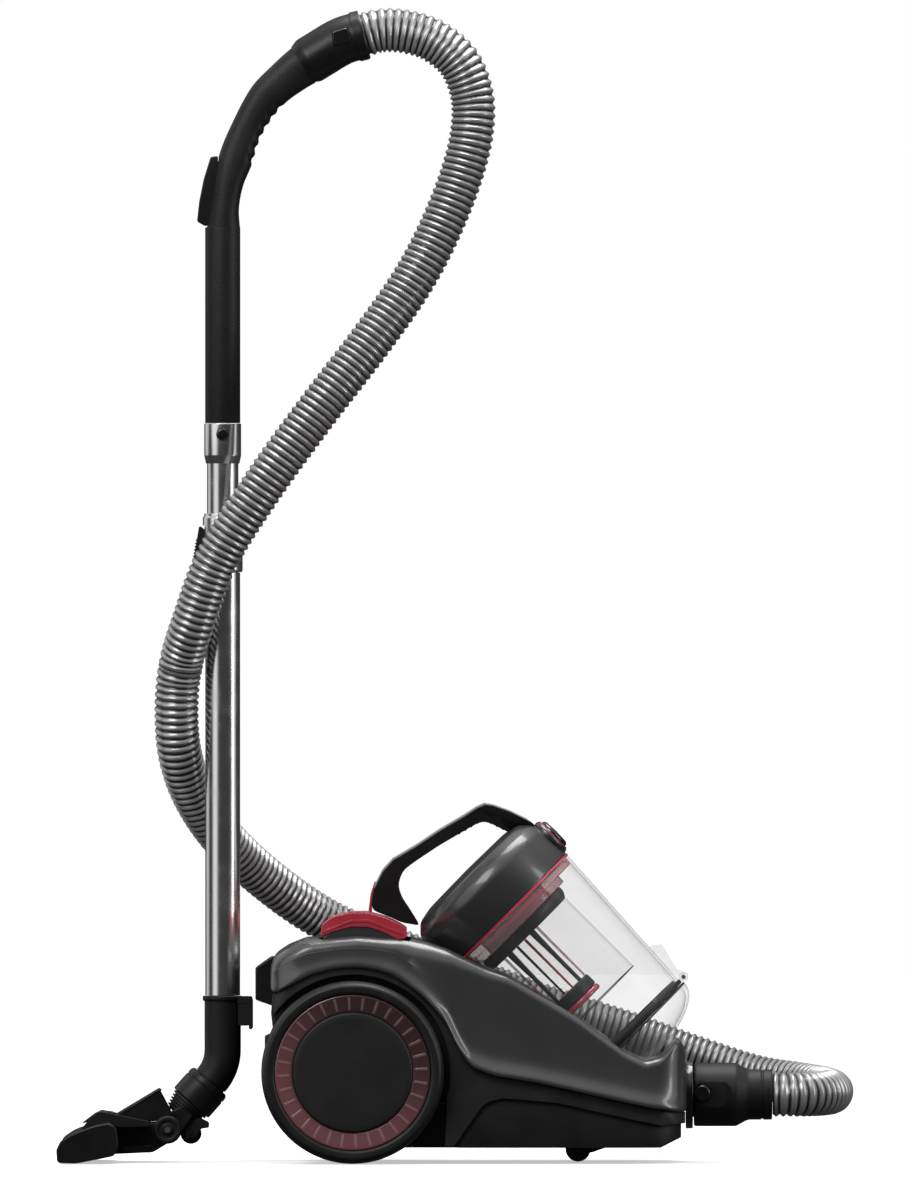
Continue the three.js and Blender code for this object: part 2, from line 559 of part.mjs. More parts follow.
function makeElbow() {
  const bend = 46.2;
  const path = [[WAND_X, 0, 165.9], [WAND_X, 0, 150], [WAND_X, 0, 130]];
  const turnAngle = Math.acos(-NECK_AXIS[2]);
  const steps = 8;
  for (let i = 0; i <= steps; i += 1) {
    const angle = (i / steps) * turnAngle;
    path.push([WAND_X - bend * (1 - Math.cos(angle)), 0, 111.8 - bend * Math.sin(angle)]);
  }
  const tube = swept(path, TUBE.elbow, 16, 9);
  const bore = swept([[WAND_X, 0, 190], ...path, [-217, 0, 66.4]], 14.5, 10, 11);
  const rim = pipe(20, 15, 162.5, 165.9, [WAND_X, 0, 0], UP, 20);
  const hook = [[-178, 165.9], [-163, 165.9], [-162, 161], [-162, 133], [-166, 132], [-166.5, 158],
    [-178, 158]];
  const spigot = rod(17, -1, 12, NECK_START, NECK_AXIS, 20);
  piece('elbow', cut(joined([tube, rim, slab(hook, -13, 13), spigot]), [bore]), 'black');
}

// ---- Floor head ----
function makeNeck() {
  const { radius, length } = COLLAR;
  const sleeve = [[17.6, 1], [20.5, 1], [radius, 3.5], [radius, length], [13, length], [13, 13], [17.6, 13],
    [17.6, 1]];
  piece('swivel_collar', turned(sleeve, NECK_START, NECK_AXIS, 20), 'black');
  const folds = [[8, length], [19, length], [19, 34], [12, 48], [8, 48], [8, length]];
  const bellows = turned(folds, NECK_START, NECK_AXIS, 20);
  const roller = [-224, 0, 28.2];
  let knuckle = bellows;
  eachSide((_, side) => {
    const ear = [[-231, 56], [-222, 46], [-236, 27], [-244, 22.5], [-253, 24], [-257, 34], [-251, 42],
      [-243, 51]];
    knuckle = knuckle.add(sideSlab(ear, side, 10, 18));
    const fork = [[-233, 45], [-216, 44.5], [-205.6, 39], [-206, 34], [-214, 33], [-219, 23.5],
      [-229, 23.5]];
    knuckle = knuckle.add(sideSlab(fork, side, 8.2, 12));
  });
  knuckle = cut(knuckle, [
    rod(3 + GAP, -30, 30, [PITCH.x, 0, PITCH.z], ACROSS, 16),
    rod(2.3, -30, 30, roller, ACROSS, 16),
    rod(11.2, -8, 8, roller, ACROSS, 16),
    turned([[0, 0], [26, 0], [26, length + GAP], [0, length + GAP]], NECK_START, NECK_AXIS, 20),
  ]);
  piece('neck_knuckle', knuckle, 'black');
  const roll = [[0, -11.5], [2, -11.5], [2, -7.5], [10.5, -7.5], [10.5, 7.5], [2, 7.5], [2, 11.5],
    [0, 11.5]];
  piece('rear_roller', turned(roll, roller, ACROSS, 16), 'tyre');
}

const SOLE_SLOT = { low: -346, high: -330 };

function makeFloorHead() {
  const outline = [[-357, 14], [-356, 0.8], [-337, 0.4], [-299, 8], [-296, 17], [-298, 35],
    [-305, 40.5], [-320, 37],
    [-342, 29.5], [-353, 22]];
  const bar = slab(outline, -HEAD_HALF + 4.3, HEAD_HALF - 4.3);
  const hollow = slab([[-351, 14], [-350, 4.2], [-337, 3.8], [-303, 10.5], [-300, 18], [-302, 32],
    [-306, 36],
    [-320, 33], [-340, 26], [-349, 19]], -HEAD_HALF + 9, HEAD_HALF - 9);
  const slot = box([SOLE_SLOT.low, -HEAD_HALF + 14, -2], [SOLE_SLOT.high, HEAD_HALF - 14, 7]);
  const tongue = slab([[-300, 8], [-268, 9.5], [-262, 14], [-262, 17], [-299, 14]], -36, 28);
  let base = cut(bar, [hollow, slot]).add(tongue);
  eachSide((_, side) => {
    const arm = [[-302, 9], [-262, 9.5], [-243, 21], [-238, 32], [-244, 42], [-256, 40], [-302, 36]];
    base = base.add(sideSlab(arm, side, 31, 35.5));
  });
  const deck = [[-333, 33.3], [-322, 47], [-314, 51], [-265, 41], [-264, 36], [-297, 35], [-305, 39],
    [-320, 35]];
  eachSide((_, side) => {
    base = base.add(sideSlab(deck, side, 36.2, 60));
  });
  const brushSlot = box([-327, -HEAD_HALF + 14, -2], [-319, HEAD_HALF - 14, 12]);
  base = base.subtract(brushSlot);
  const mouth = box([-306, -24, 17.5], [-290, 24, 33]);
  const pin = rod(3 + GAP, -60, 60, [PITCH.x, 0, PITCH.z], ACROSS, 16);
  piece('head_base', cut(base, [mouth, pin]), 'black');
  piece('pitch_pin', rod(3, -47, 47, [PITCH.x, 0, PITCH.z], ACROSS, 16), 'steel');
  const roof = [[-300, 41.5], [-299.5, 47.5], [-256, 73.5], [-253, 71], [-296, 42]];
  let cover = slab(roof, -35.5, 35.5);
  eachSide((_, side) => {
    const cheek = [[-300, 42], [-256, 73], [-243.5, 49.5], [-246, 43.5], [-257, 41.2], [-300, 37.2]];
    cover = cover.add(sideSlab(cheek, side, 31, 35.5));
  });
  piece('neck_cover', cover, 'black');
  eachSide((label, side) => {
    const cap = [[-357, 14], [-356, 0.8], [-337, 0.4], [-299, 8], [-295, 17], [-297, 36], [-305, 41],
      [-320, 38],
      [-342, 30], [-353, 22.5]];
    piece(`end_cap_${label}`, sideSlab(cap, side, HEAD_HALF - 4, HEAD_HALF), 'black');
    const disc = pipe(PITCH.wheel, 3 + GAP, 37, 45, [PITCH.x, 0, PITCH.z], [0, side, 0], 20);
    piece(`head_wheel_${label}`, disc, 'tyre');
  });
  const bristles = [[-326, 3], [-320, 3.9], [-320, 14], [-326, 14]];
  piece('brush_strip', slab(bristles, -HEAD_HALF + 16, HEAD_HALF - 16), 'black');
  const blade = [[-333, 38.5], [-322, 47], [-314, 51], [-301.5, 49.6], [-301.5, 46], [-312, 43.6]];
  piece('mode_pedal', slab(blade, -34, 34), 'black');
}

makeHousing();
makeChassis();
makeSocket();
eachSide(makeWheel);
makeCaster();
makeInside();
makePedals();
makeCup();
makeFilter();
makeHead();
makeInlet();
makeHose();
makeHandle();
makeCuff();
makeWand();
makeElbow();
makeNeck();
makeFloorHead();

export default model;
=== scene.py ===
"""Looks of a canister vacuum cleaner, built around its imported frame."""
import logging
import math
from dataclasses import dataclass, field
from enum import Enum
from typing import Callable

import bpy
import numpy as np
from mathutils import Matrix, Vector


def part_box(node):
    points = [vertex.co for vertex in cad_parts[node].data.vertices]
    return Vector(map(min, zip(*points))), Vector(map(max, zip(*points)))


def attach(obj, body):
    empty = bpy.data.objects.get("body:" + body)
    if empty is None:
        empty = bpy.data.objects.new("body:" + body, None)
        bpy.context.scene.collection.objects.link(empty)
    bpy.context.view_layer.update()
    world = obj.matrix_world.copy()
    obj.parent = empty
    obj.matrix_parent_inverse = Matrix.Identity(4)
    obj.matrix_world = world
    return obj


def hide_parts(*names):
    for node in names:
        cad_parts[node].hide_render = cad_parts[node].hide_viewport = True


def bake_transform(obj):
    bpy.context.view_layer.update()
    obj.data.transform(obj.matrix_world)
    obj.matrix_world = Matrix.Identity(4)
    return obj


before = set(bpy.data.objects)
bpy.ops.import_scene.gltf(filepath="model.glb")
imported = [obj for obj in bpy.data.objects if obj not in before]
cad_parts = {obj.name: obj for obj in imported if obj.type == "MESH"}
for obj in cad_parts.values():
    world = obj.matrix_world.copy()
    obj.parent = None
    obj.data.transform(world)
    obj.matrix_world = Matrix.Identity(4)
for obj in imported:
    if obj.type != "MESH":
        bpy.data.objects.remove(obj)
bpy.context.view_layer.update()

LOG = logging.getLogger("vacuum")
MM = 0.001

Vec = tuple[float, float, float]
Flat = tuple[float, float]


ACROSS: Vec = (0, 1, 0)


def low_high(node: str, axis: int) -> Flat:
    """A CAD node's lowest and highest place along an axis, in millimetres, to a hundredth."""
    low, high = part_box(node)
    return round(low[axis] / MM, 2), round(high[axis] / MM, 2)


def mid_of(node: str) -> Flat:
    """The x and z of the middle of a CAD node's box, in millimetres, to a tenth."""
    low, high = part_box(node)
    return round((low[0] + high[0]) / 2 / MM, 1), round((low[2] + high[2]) / 2 / MM, 1)


def half_width(node: str, axis: int) -> float:
    """Half of what a CAD node measures along an axis, in millimetres, to a hundredth."""
    low, high = low_high(node, axis)
    return round((high - low) / 2, 2)


class Side(Enum):
    """The two sides of the cleaner: near faces -Y, far faces +Y."""

    NEAR = -1
    FAR = 1

    @property
    def label(self) -> str:
        """The word used in node names."""
        return self.name.lower()


def smoothstep(low: float, high: float, value: float) -> float:
    """A soft step from 0 at low to 1 at high."""
    t = min(1.0, max(0.0, (value - low) / (high - low)))
    return t * t * (3 - 2 * t)


def polyline(points: list[Flat], x: float) -> float:
    """The height at x of a line through points sorted by x."""
    xs = [p[0] for p in points]
    return float(np.interp(x, xs, [p[1] for p in points]))


# ---------------------------------------------------------------- curves


@dataclass(frozen=True)
class Route:
    """A smooth line through given points, in millimetres, as centripetal Catmull-Rom arcs."""

    points: tuple[Vec, ...]

    def samples(self, per_arc: int = 40) -> np.ndarray:
        """Points along the line.

        Args:
            per_arc: how many points each arc gets.

        Returns:
            An array of points in millimetres.
        """
        knots = [np.array(p, float) for p in self.points]
        knots = [2 * knots[0] - knots[1], *knots, 2 * knots[-1] - knots[-2]]
        line: list[np.ndarray] = []
        for a, b, c, d in zip(knots, knots[1:], knots[2:], knots[3:]):
            first, middle, last = (
                max(1e-4, float(np.linalg.norm(q - p)) ** 0.5) for p, q in ((a, b), (b, c), (c, d))
            )
            start = ((b - a) / first - (c - a) / (first + middle) + (c - b) / middle) * middle
            end = ((c - b) / middle - (d - b) / (middle + last) + (d - c) / last) * middle
            for t in np.linspace(0, 1, per_arc, endpoint=False):
                line.append(
                    (2 * t**3 - 3 * t**2 + 1) * b + (t**3 - 2 * t**2 + t) * start
                    + (3 * t**2 - 2 * t**3) * c + (t**3 - t**2) * end
                )
        line.append(knots[-2])
        return np.array(line)

    def length(self) -> float:
        """The line's length in millimetres."""
        return float(np.linalg.norm(np.diff(self.samples(), axis=0), axis=1).sum())

    def even(self, stations: np.ndarray) -> np.ndarray:
        """Points at the given distances along the line, in millimetres.

        Args:
            stations: the distances that get a point.

        Returns:
            An array of points in millimetres.
        """
        line = self.samples()
        run = np.concatenate([[0.0], np.cumsum(np.linalg.norm(np.diff(line, axis=0), axis=1))])
        return np.stack([np.interp(stations, run, line[:, k]) for k in range(3)], axis=1)


def circles_along(points: np.ndarray, sides: int) -> np.ndarray:
    """Unit circles square to a line at each of its points, carried along it without twist.

    Args:
        points: the line's points.
        sides: how many points go round a circle.

    Returns:
        An array of circles, as steps away from the line's points.
    """
    tangents = np.gradient(points, axis=0)
    tangents /= np.linalg.norm(tangents, axis=1)[:, None]
    across = np.array([0.0, 1.0, 0.0])
    if abs(tangents[0] @ across) > 0.9:
        across = np.array([0.0, 0.0, 1.0])
    rights = []
    for tangent in tangents:
        across = across - tangent * (across @ tangent)
        across = across / np.linalg.norm(across)
        rights.append(across)
    right = np.array(rights)
    up = np.cross(tangents, right)
    angles = np.linspace(0, 2 * math.pi, sides, endpoint=False)
    cosine, sine = np.cos(angles)[None, :, None], np.sin(angles)[None, :, None]
    return cosine * right[:, None, :] + sine * up[:, None, :]


# ---------------------------------------------------------------- modelling


class Bench:
    """Modelling with Blender's own tools, in millimetres. Each piece ends at the origin, unturned."""

    @staticmethod
    def clear() -> None:
        """Leaves edit mode and deselects everything."""
        if bpy.context.object and bpy.context.object.mode != "OBJECT":
            bpy.ops.object.mode_set(mode="OBJECT")
        bpy.ops.object.select_all(action="DESELECT")

    @staticmethod
    def pick(*pieces: bpy.types.Object) -> None:
        """Selects these pieces only; the first is the active one.

        Args:
            pieces: the objects.
        """
        Bench.clear()
        for piece in pieces:
            piece.select_set(True)
        bpy.context.view_layer.objects.active = pieces[0]

    @staticmethod
    def chain(name: str, points: list[Vec]) -> bpy.types.Object:
        """A chain of vertices, left in edit mode: one vertex extruded from point to point.

        Args:
            name: the piece's name.
            points: places in millimetres.

        Returns:
            The new object.
        """
        Bench.clear()
        bpy.ops.mesh.primitive_plane_add(size=MM, location=(0, 0, 0), enter_editmode=True)
        piece = bpy.context.object
        piece.name = piece.data.name = name
        bpy.ops.mesh.select_mode(type="VERT")
        bpy.ops.mesh.select_all(action="SELECT")
        bpy.ops.mesh.merge(type="CENTER")
        bpy.ops.mesh.select_all(action="SELECT")
        bpy.ops.transform.translate(value=tuple(Vector(points[0]) * MM))
        for here, there in zip(points, points[1:]):
            step = tuple((Vector(there) - Vector(here)) * MM)
            bpy.ops.mesh.extrude_region_move(TRANSFORM_OT_translate={"value": step})
        bpy.ops.mesh.select_all(action="SELECT")
        return piece

    @staticmethod
    def tidy(piece: bpy.types.Object, smooth_degrees: float = 35.0) -> bpy.types.Object:
        """Merges doubles, turns faces outwards and shades a piece smooth by angle.

        Args:
            piece: the object to work on.
            smooth_degrees: edges flatter than this are shaded smooth.

        Returns:
            The same piece.
        """
        Bench.pick(piece)
        bpy.ops.object.mode_set(mode="EDIT")
        bpy.ops.mesh.select_all(action="SELECT")
        bpy.ops.mesh.remove_doubles(threshold=0.00001)
        bpy.ops.mesh.dissolve_degenerate(threshold=0.000002)
        bpy.ops.mesh.normals_make_consistent(inside=False)
        bpy.ops.object.mode_set(mode="OBJECT")
        bpy.ops.object.shade_smooth_by_angle(angle=math.radians(smooth_degrees))
        return piece

    @staticmethod
    def turned(name: str, profile: list[Flat], start: Vec, axis: Vec, steps: int = 64) -> bpy.types.Object:
        """A piece turned about an axis, as on a lathe.

        Args:
            name: the piece's name.
            profile: radius and distance along the axis, in millimetres, from point to point.
            start: where the axis starts.
            axis: its direction.
            steps: how many faces go round.

        Returns:
            The closed piece.
        """
        turn = Vector((0, 0, 1)).rotation_difference(Vector(axis).normalized())
        side = turn @ Vector((1, 0, 0))
        along = Vector(axis).normalized()
        points = [tuple(Vector(start) + side * r + along * t) for r, t in profile]
        piece = Bench.chain(name, points)
        bpy.ops.mesh.spin(steps=steps, angle=2 * math.pi, center=Vector(start) * MM, axis=along)
        return Bench.tidy(piece)

    @staticmethod
    def plate(
        name: str, outline: list[Flat], low: float, high: float, bevel: float = 0.0, rounds: int = 3,
    ) -> bpy.types.Object:
        """An outline of x and z, filled and extruded across from y low to y high, with rounded edges.

        Args:
            name: the piece's name.
            outline: the corners, in order.
            low: the lowest y.
            high: the highest y.
            bevel: the edge radius, or 0 for sharp edges.
            rounds: how many steps each round has.

        Returns:
            The closed piece.
        """
        piece = Bench.chain(name, [(x, low, z) for x, z in outline])
        bpy.ops.mesh.edge_face_add()
        bpy.ops.mesh.extrude_region_move(TRANSFORM_OT_translate={"value": (0, (high - low) * MM, 0)})
        Bench.tidy(piece)
        if bevel:
            Bench.bevel(piece, bevel, rounds)
        return piece

    @staticmethod
    def modify(piece: bpy.types.Object, kind: str, **settings) -> bpy.types.Object:
        """Adds one modifier with these settings and applies it.

        Args:
            piece: the object to work on.
            kind: the modifier's type.
            settings: its properties.

        Returns:
            The same piece.
        """
        Bench.pick(piece)
        modifier = piece.modifiers.new(kind.title(), kind)
        for key, value in settings.items():
            setattr(modifier, key, value)
        bpy.ops.object.modifier_apply(modifier=modifier.name)
        return piece

    @staticmethod
    def bevel(
        piece: bpy.types.Object, width: float, rounds: int = 3, degrees: float = 32.0,
    ) -> bpy.types.Object:
        """Rounds every edge sharper than an angle and shades the piece smooth.

        Args:
            piece: the object to work on.
            width: the radius in millimetres.
            rounds: how many steps the round has.
            degrees: edges flatter than this stay.

        Returns:
            The same piece.
        """
        Bench.modify(
            piece, "BEVEL", width=width * MM, segments=rounds, limit_method="ANGLE",
            angle_limit=math.radians(degrees), harden_normals=False, use_clamp_overlap=True,
        )
        Bench.pick(piece)
        bpy.ops.object.shade_smooth_by_angle(angle=math.radians(40))
        return piece

    @staticmethod
    def cut(piece: bpy.types.Object, *tools: bpy.types.Object) -> bpy.types.Object:
        """Cuts each tool out of a piece and throws the tool away.

        Args:
            piece: the object to work on.
            tools: the objects to cut with.

        Returns:
            The same piece.
        """
        for tool in tools:
            Bench.modify(piece, "BOOLEAN", operation="DIFFERENCE", solver="EXACT", object=tool)
            bpy.data.objects.remove(tool, do_unlink=True)
        return piece

    @staticmethod
    def fused(name: str, *pieces: bpy.types.Object) -> bpy.types.Object:
        """Unites pieces that run into each other into one body with that name.

        Args:
            name: its name.
            pieces: the objects.

        Returns:
            The one object.
        """
        for other in pieces[1:]:
            Bench.modify(pieces[0], "BOOLEAN", operation="UNION", solver="EXACT", object=other)
            bpy.data.objects.remove(other, do_unlink=True)
        pieces[0].name = pieces[0].data.name = name
        return pieces[0]

    @staticmethod
    def within(piece: bpy.types.Object, mould: bpy.types.Object) -> bpy.types.Object:
        """Keeps only what lies inside the mould, and throws the mould away.

        Args:
            piece: the object to work on.
            mould: the object to stay inside.

        Returns:
            The same piece.
        """
        Bench.modify(piece, "BOOLEAN", operation="INTERSECT", solver="EXACT", object=mould)
        bpy.data.objects.remove(mould, do_unlink=True)
        return piece

    @staticmethod
    def merged(name: str, *pieces: bpy.types.Object) -> bpy.types.Object:
        """Joins pieces into one object with that name.

        Args:
            name: its name.
            pieces: the objects.

        Returns:
            The one object.
        """
        Bench.pick(*pieces)
        bpy.ops.object.join()
        pieces[0].name = pieces[0].data.name = name
        return pieces[0]

    @staticmethod
    def skin(name: str, rings: np.ndarray, capped: bool = True) -> bpy.types.Object:
        """A smooth skin over rings of points, for shapes that no primitive leads to.

        Args:
            name: the piece's name.
            rings: an array of rings, each with the same number of points, in millimetres.
            capped: whether the two ends are closed.

        Returns:
            The closed piece.
        """
        count, around, _ = rings.shape
        faces: list[tuple[int, ...]] = []
        for i in range(count - 1):
            for j in range(around):
                k = (j + 1) % around
                faces.append((i * around + j, i * around + k, (i + 1) * around + k, (i + 1) * around + j))
        if capped:
            faces.append(tuple(range(around)))
            faces.append(tuple((count - 1) * around + j for j in range(around)))
        mesh = bpy.data.meshes.new(name)
        mesh.from_pydata((rings.reshape(-1, 3) * MM).tolist(), [], faces)
        piece = bpy.data.objects.new(name, mesh)
        bpy.context.scene.collection.objects.link(piece)
        return Bench.tidy(piece)


def rod(
    name: str, radius: float, low: float, high: float, start: Vec, axis: Vec, steps: int = 40,
) -> bpy.types.Object:
    """A plain round bar, used as a cutter or as a start."""
    return Bench.turned(name, [(0, low), (radius, low), (radius, high), (0, high)], start, axis, steps)


def rounded(profile: list[Flat], radius: float, steps: int = 4) -> list[Flat]:
    """A profile or outline whose inner corners are rounded.

    Args:
        profile: the corners, in order; the first and the last stay sharp.
        radius: the round's reach along each edge.
        steps: how many points each round gets.

    Returns:
        The new list of points.
    """
    result = [profile[0]]
    for before, corner, after in zip(profile, profile[1:], profile[2:]):
        b, c, a = Vector(before), Vector(corner), Vector(after)
        back, on = b - c, a - c
        reach = min(radius, back.length * 0.45, on.length * 0.45)
        if reach < 0.05:
            result.append(corner)
            continue
        first, last = c + back.normalized() * reach, c + on.normalized() * reach
        for i in range(steps + 1):
            t = i / steps
            result.append(tuple(first * (1 - t) ** 2 + c * 2 * t * (1 - t) + last * t**2))
    result.append(profile[-1])
    return result


def loop_rounded(outline: list[Flat], radius: float, steps: int = 4) -> list[Flat]:
    """A closed outline with all its corners rounded."""
    start = ((outline[0][0] + outline[-1][0]) / 2, (outline[0][1] + outline[-1][1]) / 2)
    return rounded([start, *outline, start], radius, steps)[:-1]


# ---------------------------------------------------------------- shading


class Value:
    """A number inside a material, with ordinary arithmetic."""

    def __init__(self, book: "Sheet", socket: bpy.types.NodeSocket) -> None:
        """Wraps one output socket of a book."""
        self.book = book
        self.socket = socket

    def _math(
        self, operation: str, *others: "Value | float", first: "Value | float | None" = None,
    ) -> "Value":
        """One Math node: self and the others, or first and self when the order is turned.

        Args:
            operation: what it works out.
            others: the other terms.
            first: the first term, if this number comes second.

        Returns:
            The result.
        """
        terms = [self, *others] if first is None else [first, self]
        node = self.book.node("ShaderNodeMath", {"operation": operation}, dict(enumerate(terms)))
        return Value(self.book, node.outputs[0])

    def __add__(self, other: "Value | float") -> "Value":
        """self + other."""
        return self._math("ADD", other)

    __radd__ = __add__

    def __sub__(self, other: "Value | float") -> "Value":
        """self - other."""
        return self._math("SUBTRACT", other)

    def __rsub__(self, other: float) -> "Value":
        """other - self."""
        return self._math("SUBTRACT", first=other)

    def __mul__(self, other: "Value | float") -> "Value":
        """self * other."""
        return self._math("MULTIPLY", other)

    __rmul__ = __mul__

    def __pow__(self, other: float) -> "Value":
        """self to a power."""
        return self._math("POWER", other)

    def sine(self) -> "Value":
        """The sine."""
        return self._math("SINE")

    def root(self) -> "Value":
        """The square root."""
        return self._math("SQRT")

    def angle(self, other: "Value") -> "Value":
        """The angle of the direction (other, self)."""
        return self._math("ARCTAN2", other)

    def least(self, other: "Value | float") -> "Value":
        """The smaller of the two."""
        return self._math("MINIMUM", other)

    def ramp(self, low: float, high: float, start: float = 0.0, end: float = 1.0) -> "Value":
        """A soft step from start at low to end at high.

        Args:
            low: where it starts.
            high: where it ends.
            start: the value below low.
            end: the value above high.

        Returns:
            The stepped number.
        """
        node = self.book.node(
            "ShaderNodeMapRange", {"interpolation_type": "SMOOTHSTEP"},
            {0: self, 1: low, 2: high, 3: start, 4: end},
        )
        return Value(self.book, node.outputs[0])


Colour = tuple[float, float, float]


def rgba(colour: Colour) -> tuple[float, float, float, float]:
    """A colour with full alpha."""
    return (*colour, 1.0)


class Sheet:
    """A node tree being written."""

    def __init__(self, tree: bpy.types.NodeTree) -> None:
        """Starts on an empty tree."""
        self.tree = tree
        self.tree.nodes.clear()

    def node(self, kind: str, settings: dict | None = None, sockets: dict | None = None) -> bpy.types.Node:
        """Adds a node.

        Args:
            kind: the node's type.
            settings: its properties.
            sockets: what goes into its inputs, by name or number; a socket or Value is linked, the rest set.

        Returns:
            The node.
        """
        made = self.tree.nodes.new(kind)
        for key, value in (settings or {}).items():
            setattr(made, key, value)
        for key, value in (sockets or {}).items():
            if isinstance(value, Value):
                self.tree.links.new(value.socket, made.inputs[key])
            elif isinstance(value, bpy.types.NodeSocket):
                self.tree.links.new(value, made.inputs[key])
            else:
                made.inputs[key].default_value = value
        return made

    def toward(self, way: bpy.types.NodeSocket, aim: Vec) -> Value:
        """How far a direction points the way of aim, from -1 to 1."""
        made = self.node("ShaderNodeVectorMath", {"operation": "DOT_PRODUCT"}, {0: way, 1: aim})
        return Value(self, made.outputs["Value"])


class Book(Sheet):
    """A material being written: its nodes, in the order the light meets them."""

    def __init__(self, name: str) -> None:
        """Starts an empty material with that name.

        Args:
            name: its name.
        """
        self.material = bpy.data.materials.new(name)
        self.material.use_nodes = True
        super().__init__(self.material.node_tree)
        self.shader = self.node("ShaderNodeBsdfPrincipled")
        self.output = self.node("ShaderNodeOutputMaterial", None, {"Surface": self.shader.outputs[0]})
        self._place: bpy.types.NodeSocket | None = None

    def place(self) -> bpy.types.NodeSocket:
        """Where the surface is, in metres of the shared frame.

        Returns:
            The socket.
        """
        if self._place is None:
            self._place = self.node("ShaderNodeTexCoord").outputs["Object"]
        return self._place

    def xyz(self, start: Vec = (0, 0, 0)) -> tuple[Value, Value, Value]:
        """The place as three numbers in millimetres from a point."""
        split = self.node("ShaderNodeSeparateXYZ", None, {0: self.place()})
        return tuple(Value(self, split.outputs[k]) * 1000 - start[k] for k in range(3))

    def attribute(self, name: str) -> Value:
        """A number stored on the mesh."""
        return Value(self, self.node("ShaderNodeAttribute", {"attribute_name": name}).outputs["Fac"])

    def noise(self, size: float, detail: float = 2.0, stretch: Vec = (1, 1, 1)) -> Value:
        """Soft noise from 0 to 1 whose blots are about size millimetres wide, stretched by axis.

        Args:
            size: in millimetres.
            detail: how many finer layers it has.
            stretch: how much each axis is squeezed.

        Returns:
            The noise.
        """
        scaled = self.node("ShaderNodeVectorMath", {"operation": "MULTIPLY"}, {0: self.place(), 1: stretch})
        made = self.node(
            "ShaderNodeTexNoise", None,
            {"Vector": scaled.outputs[0], "Scale": 1000 / size, "Detail": detail},
        )
        return Value(self, made.outputs["Fac"])

    def mix(
        self, factor: Value, low: Colour | bpy.types.NodeSocket, high: Colour | bpy.types.NodeSocket,
    ) -> bpy.types.NodeSocket:
        """The colour low where factor is 0, high where it is 1.

        Args:
            factor: from 0 to 1.
            low: the colour at 0.
            high: the colour at 1.

        Returns:
            The mixed colour's socket.
        """
        sockets = {0: factor}
        for index, colour in ((6, low), (7, high)):
            sockets[index] = rgba(colour) if isinstance(colour, tuple) else colour
        made = self.node("ShaderNodeMix", {"data_type": "RGBA"}, sockets)
        return made.outputs[2]

    def bump(self, height: Value, depth: float, strength: float = 1.0) -> None:
        """Raises the surface by height times depth millimetres.

        Args:
            height: from 0 to 1.
            depth: in millimetres.
            strength: how strongly it shows.
        """
        made = self.node(
            "ShaderNodeBump", None, {"Height": height, "Distance": depth * MM, "Strength": strength},
        )
        self.tree.links.new(made.outputs[0], self.shader.inputs["Normal"])

    def set(self, **sockets) -> None:
        """Fills the shader's own sockets; underscores in names stand for spaces.

        Args:
            sockets: what goes into each.
        """
        for key, value in sockets.items():
            target = self.shader.inputs[key.replace("_", " ")]
            if isinstance(value, (Value, bpy.types.NodeSocket)):
                self.tree.links.new(value.socket if isinstance(value, Value) else value, target)
            else:
                target.default_value = rgba(value) if isinstance(value, tuple) and len(value) == 3 else value


class Finish:
    """A material made once and worn by many pieces."""

    name: str

    def material(self) -> bpy.types.Material:
        """The material, made on first use.

        Returns:
            The material.
        """
        key = repr(self)
        if key not in FINISHES:
            book = Book(self.name)
            self.write(book)
            FINISHES[key] = book.material
        return FINISHES[key]

    def write(self, book: Book) -> None:
        """Writes the material's nodes."""
        raise NotImplementedError


FINISHES: dict[str, bpy.types.Material] = {}


@dataclass(frozen=True)
class Moulded(Finish):
    """Moulded plastic: a fine grain, faint clouds in the colour and handling marks in the gloss."""

    name: str
    dark: Colour
    light: Colour
    roughness: float = 0.45
    wear: float = 0.08
    grain: float = 0.6
    depth: float = 0.04
    coat: float = 0.0
    metallic: float = 0.0
    gloss: float = 0.5

    def write(self, book: Book) -> None:
        """Clouds, grain and marks.

        Args:
            book: the material being written.
        """
        clouds = book.noise(38, 3)
        grain = book.noise(self.grain, 2)
        book.set(
            Base_Color=book.mix(clouds.ramp(0.3, 0.7), self.dark, self.light),
            Roughness=clouds * self.wear + grain * self.wear + (self.roughness - self.wear),
            Coat_Weight=self.coat,
            Coat_Roughness=0.08,
            Metallic=self.metallic,
            Specular_IOR_Level=self.gloss,
        )
        book.bump(grain, self.depth)


@dataclass(frozen=True)
class Lacquer(Finish):
    """The housing's dark metallic lacquer: fine flakes under a clear coat."""

    name: str
    dark: Colour
    light: Colour
    flake: float = 0.35

    def write(self, book: Book) -> None:
        """Flakes, slow clouds and a coat.

        Args:
            book: the material being written.
        """
        flakes = book.noise(self.flake, 1)
        clouds = book.noise(55, 2)
        tone = flakes.ramp(0.35, 0.75) * 0.6 + clouds * 0.4
        book.set(
            Base_Color=book.mix(tone, self.dark, self.light),
            Metallic=flakes.ramp(0.4, 0.7, 0.25, 0.55),
            Roughness=clouds * 0.08 + 0.3,
            Coat_Weight=0.6,
            Coat_Roughness=0.12,
        )
        book.bump(book.noise(9, 1), 0.02)


@dataclass(frozen=True)
class Chrome(Finish):
    """Polished chrome: drawn lines along the tube and a film of smudges."""

    name: str
    tint: Colour = (0.6, 0.6, 0.61)

    def write(self, book: Book) -> None:
        """Smudges in the gloss, drawn lines in the bump.

        Args:
            book: the material being written.
        """
        smudges = book.noise(26, 4)
        lines = book.noise(0.5, 1, (1, 1, 0.01))
        book.set(
            Base_Color=book.mix(smudges, self.tint, (0.72, 0.72, 0.73)),
            Metallic=1.0,
            Roughness=smudges.ramp(0.4, 0.8, 0.2, 0.3),
        )
        book.bump(lines, 0.004)


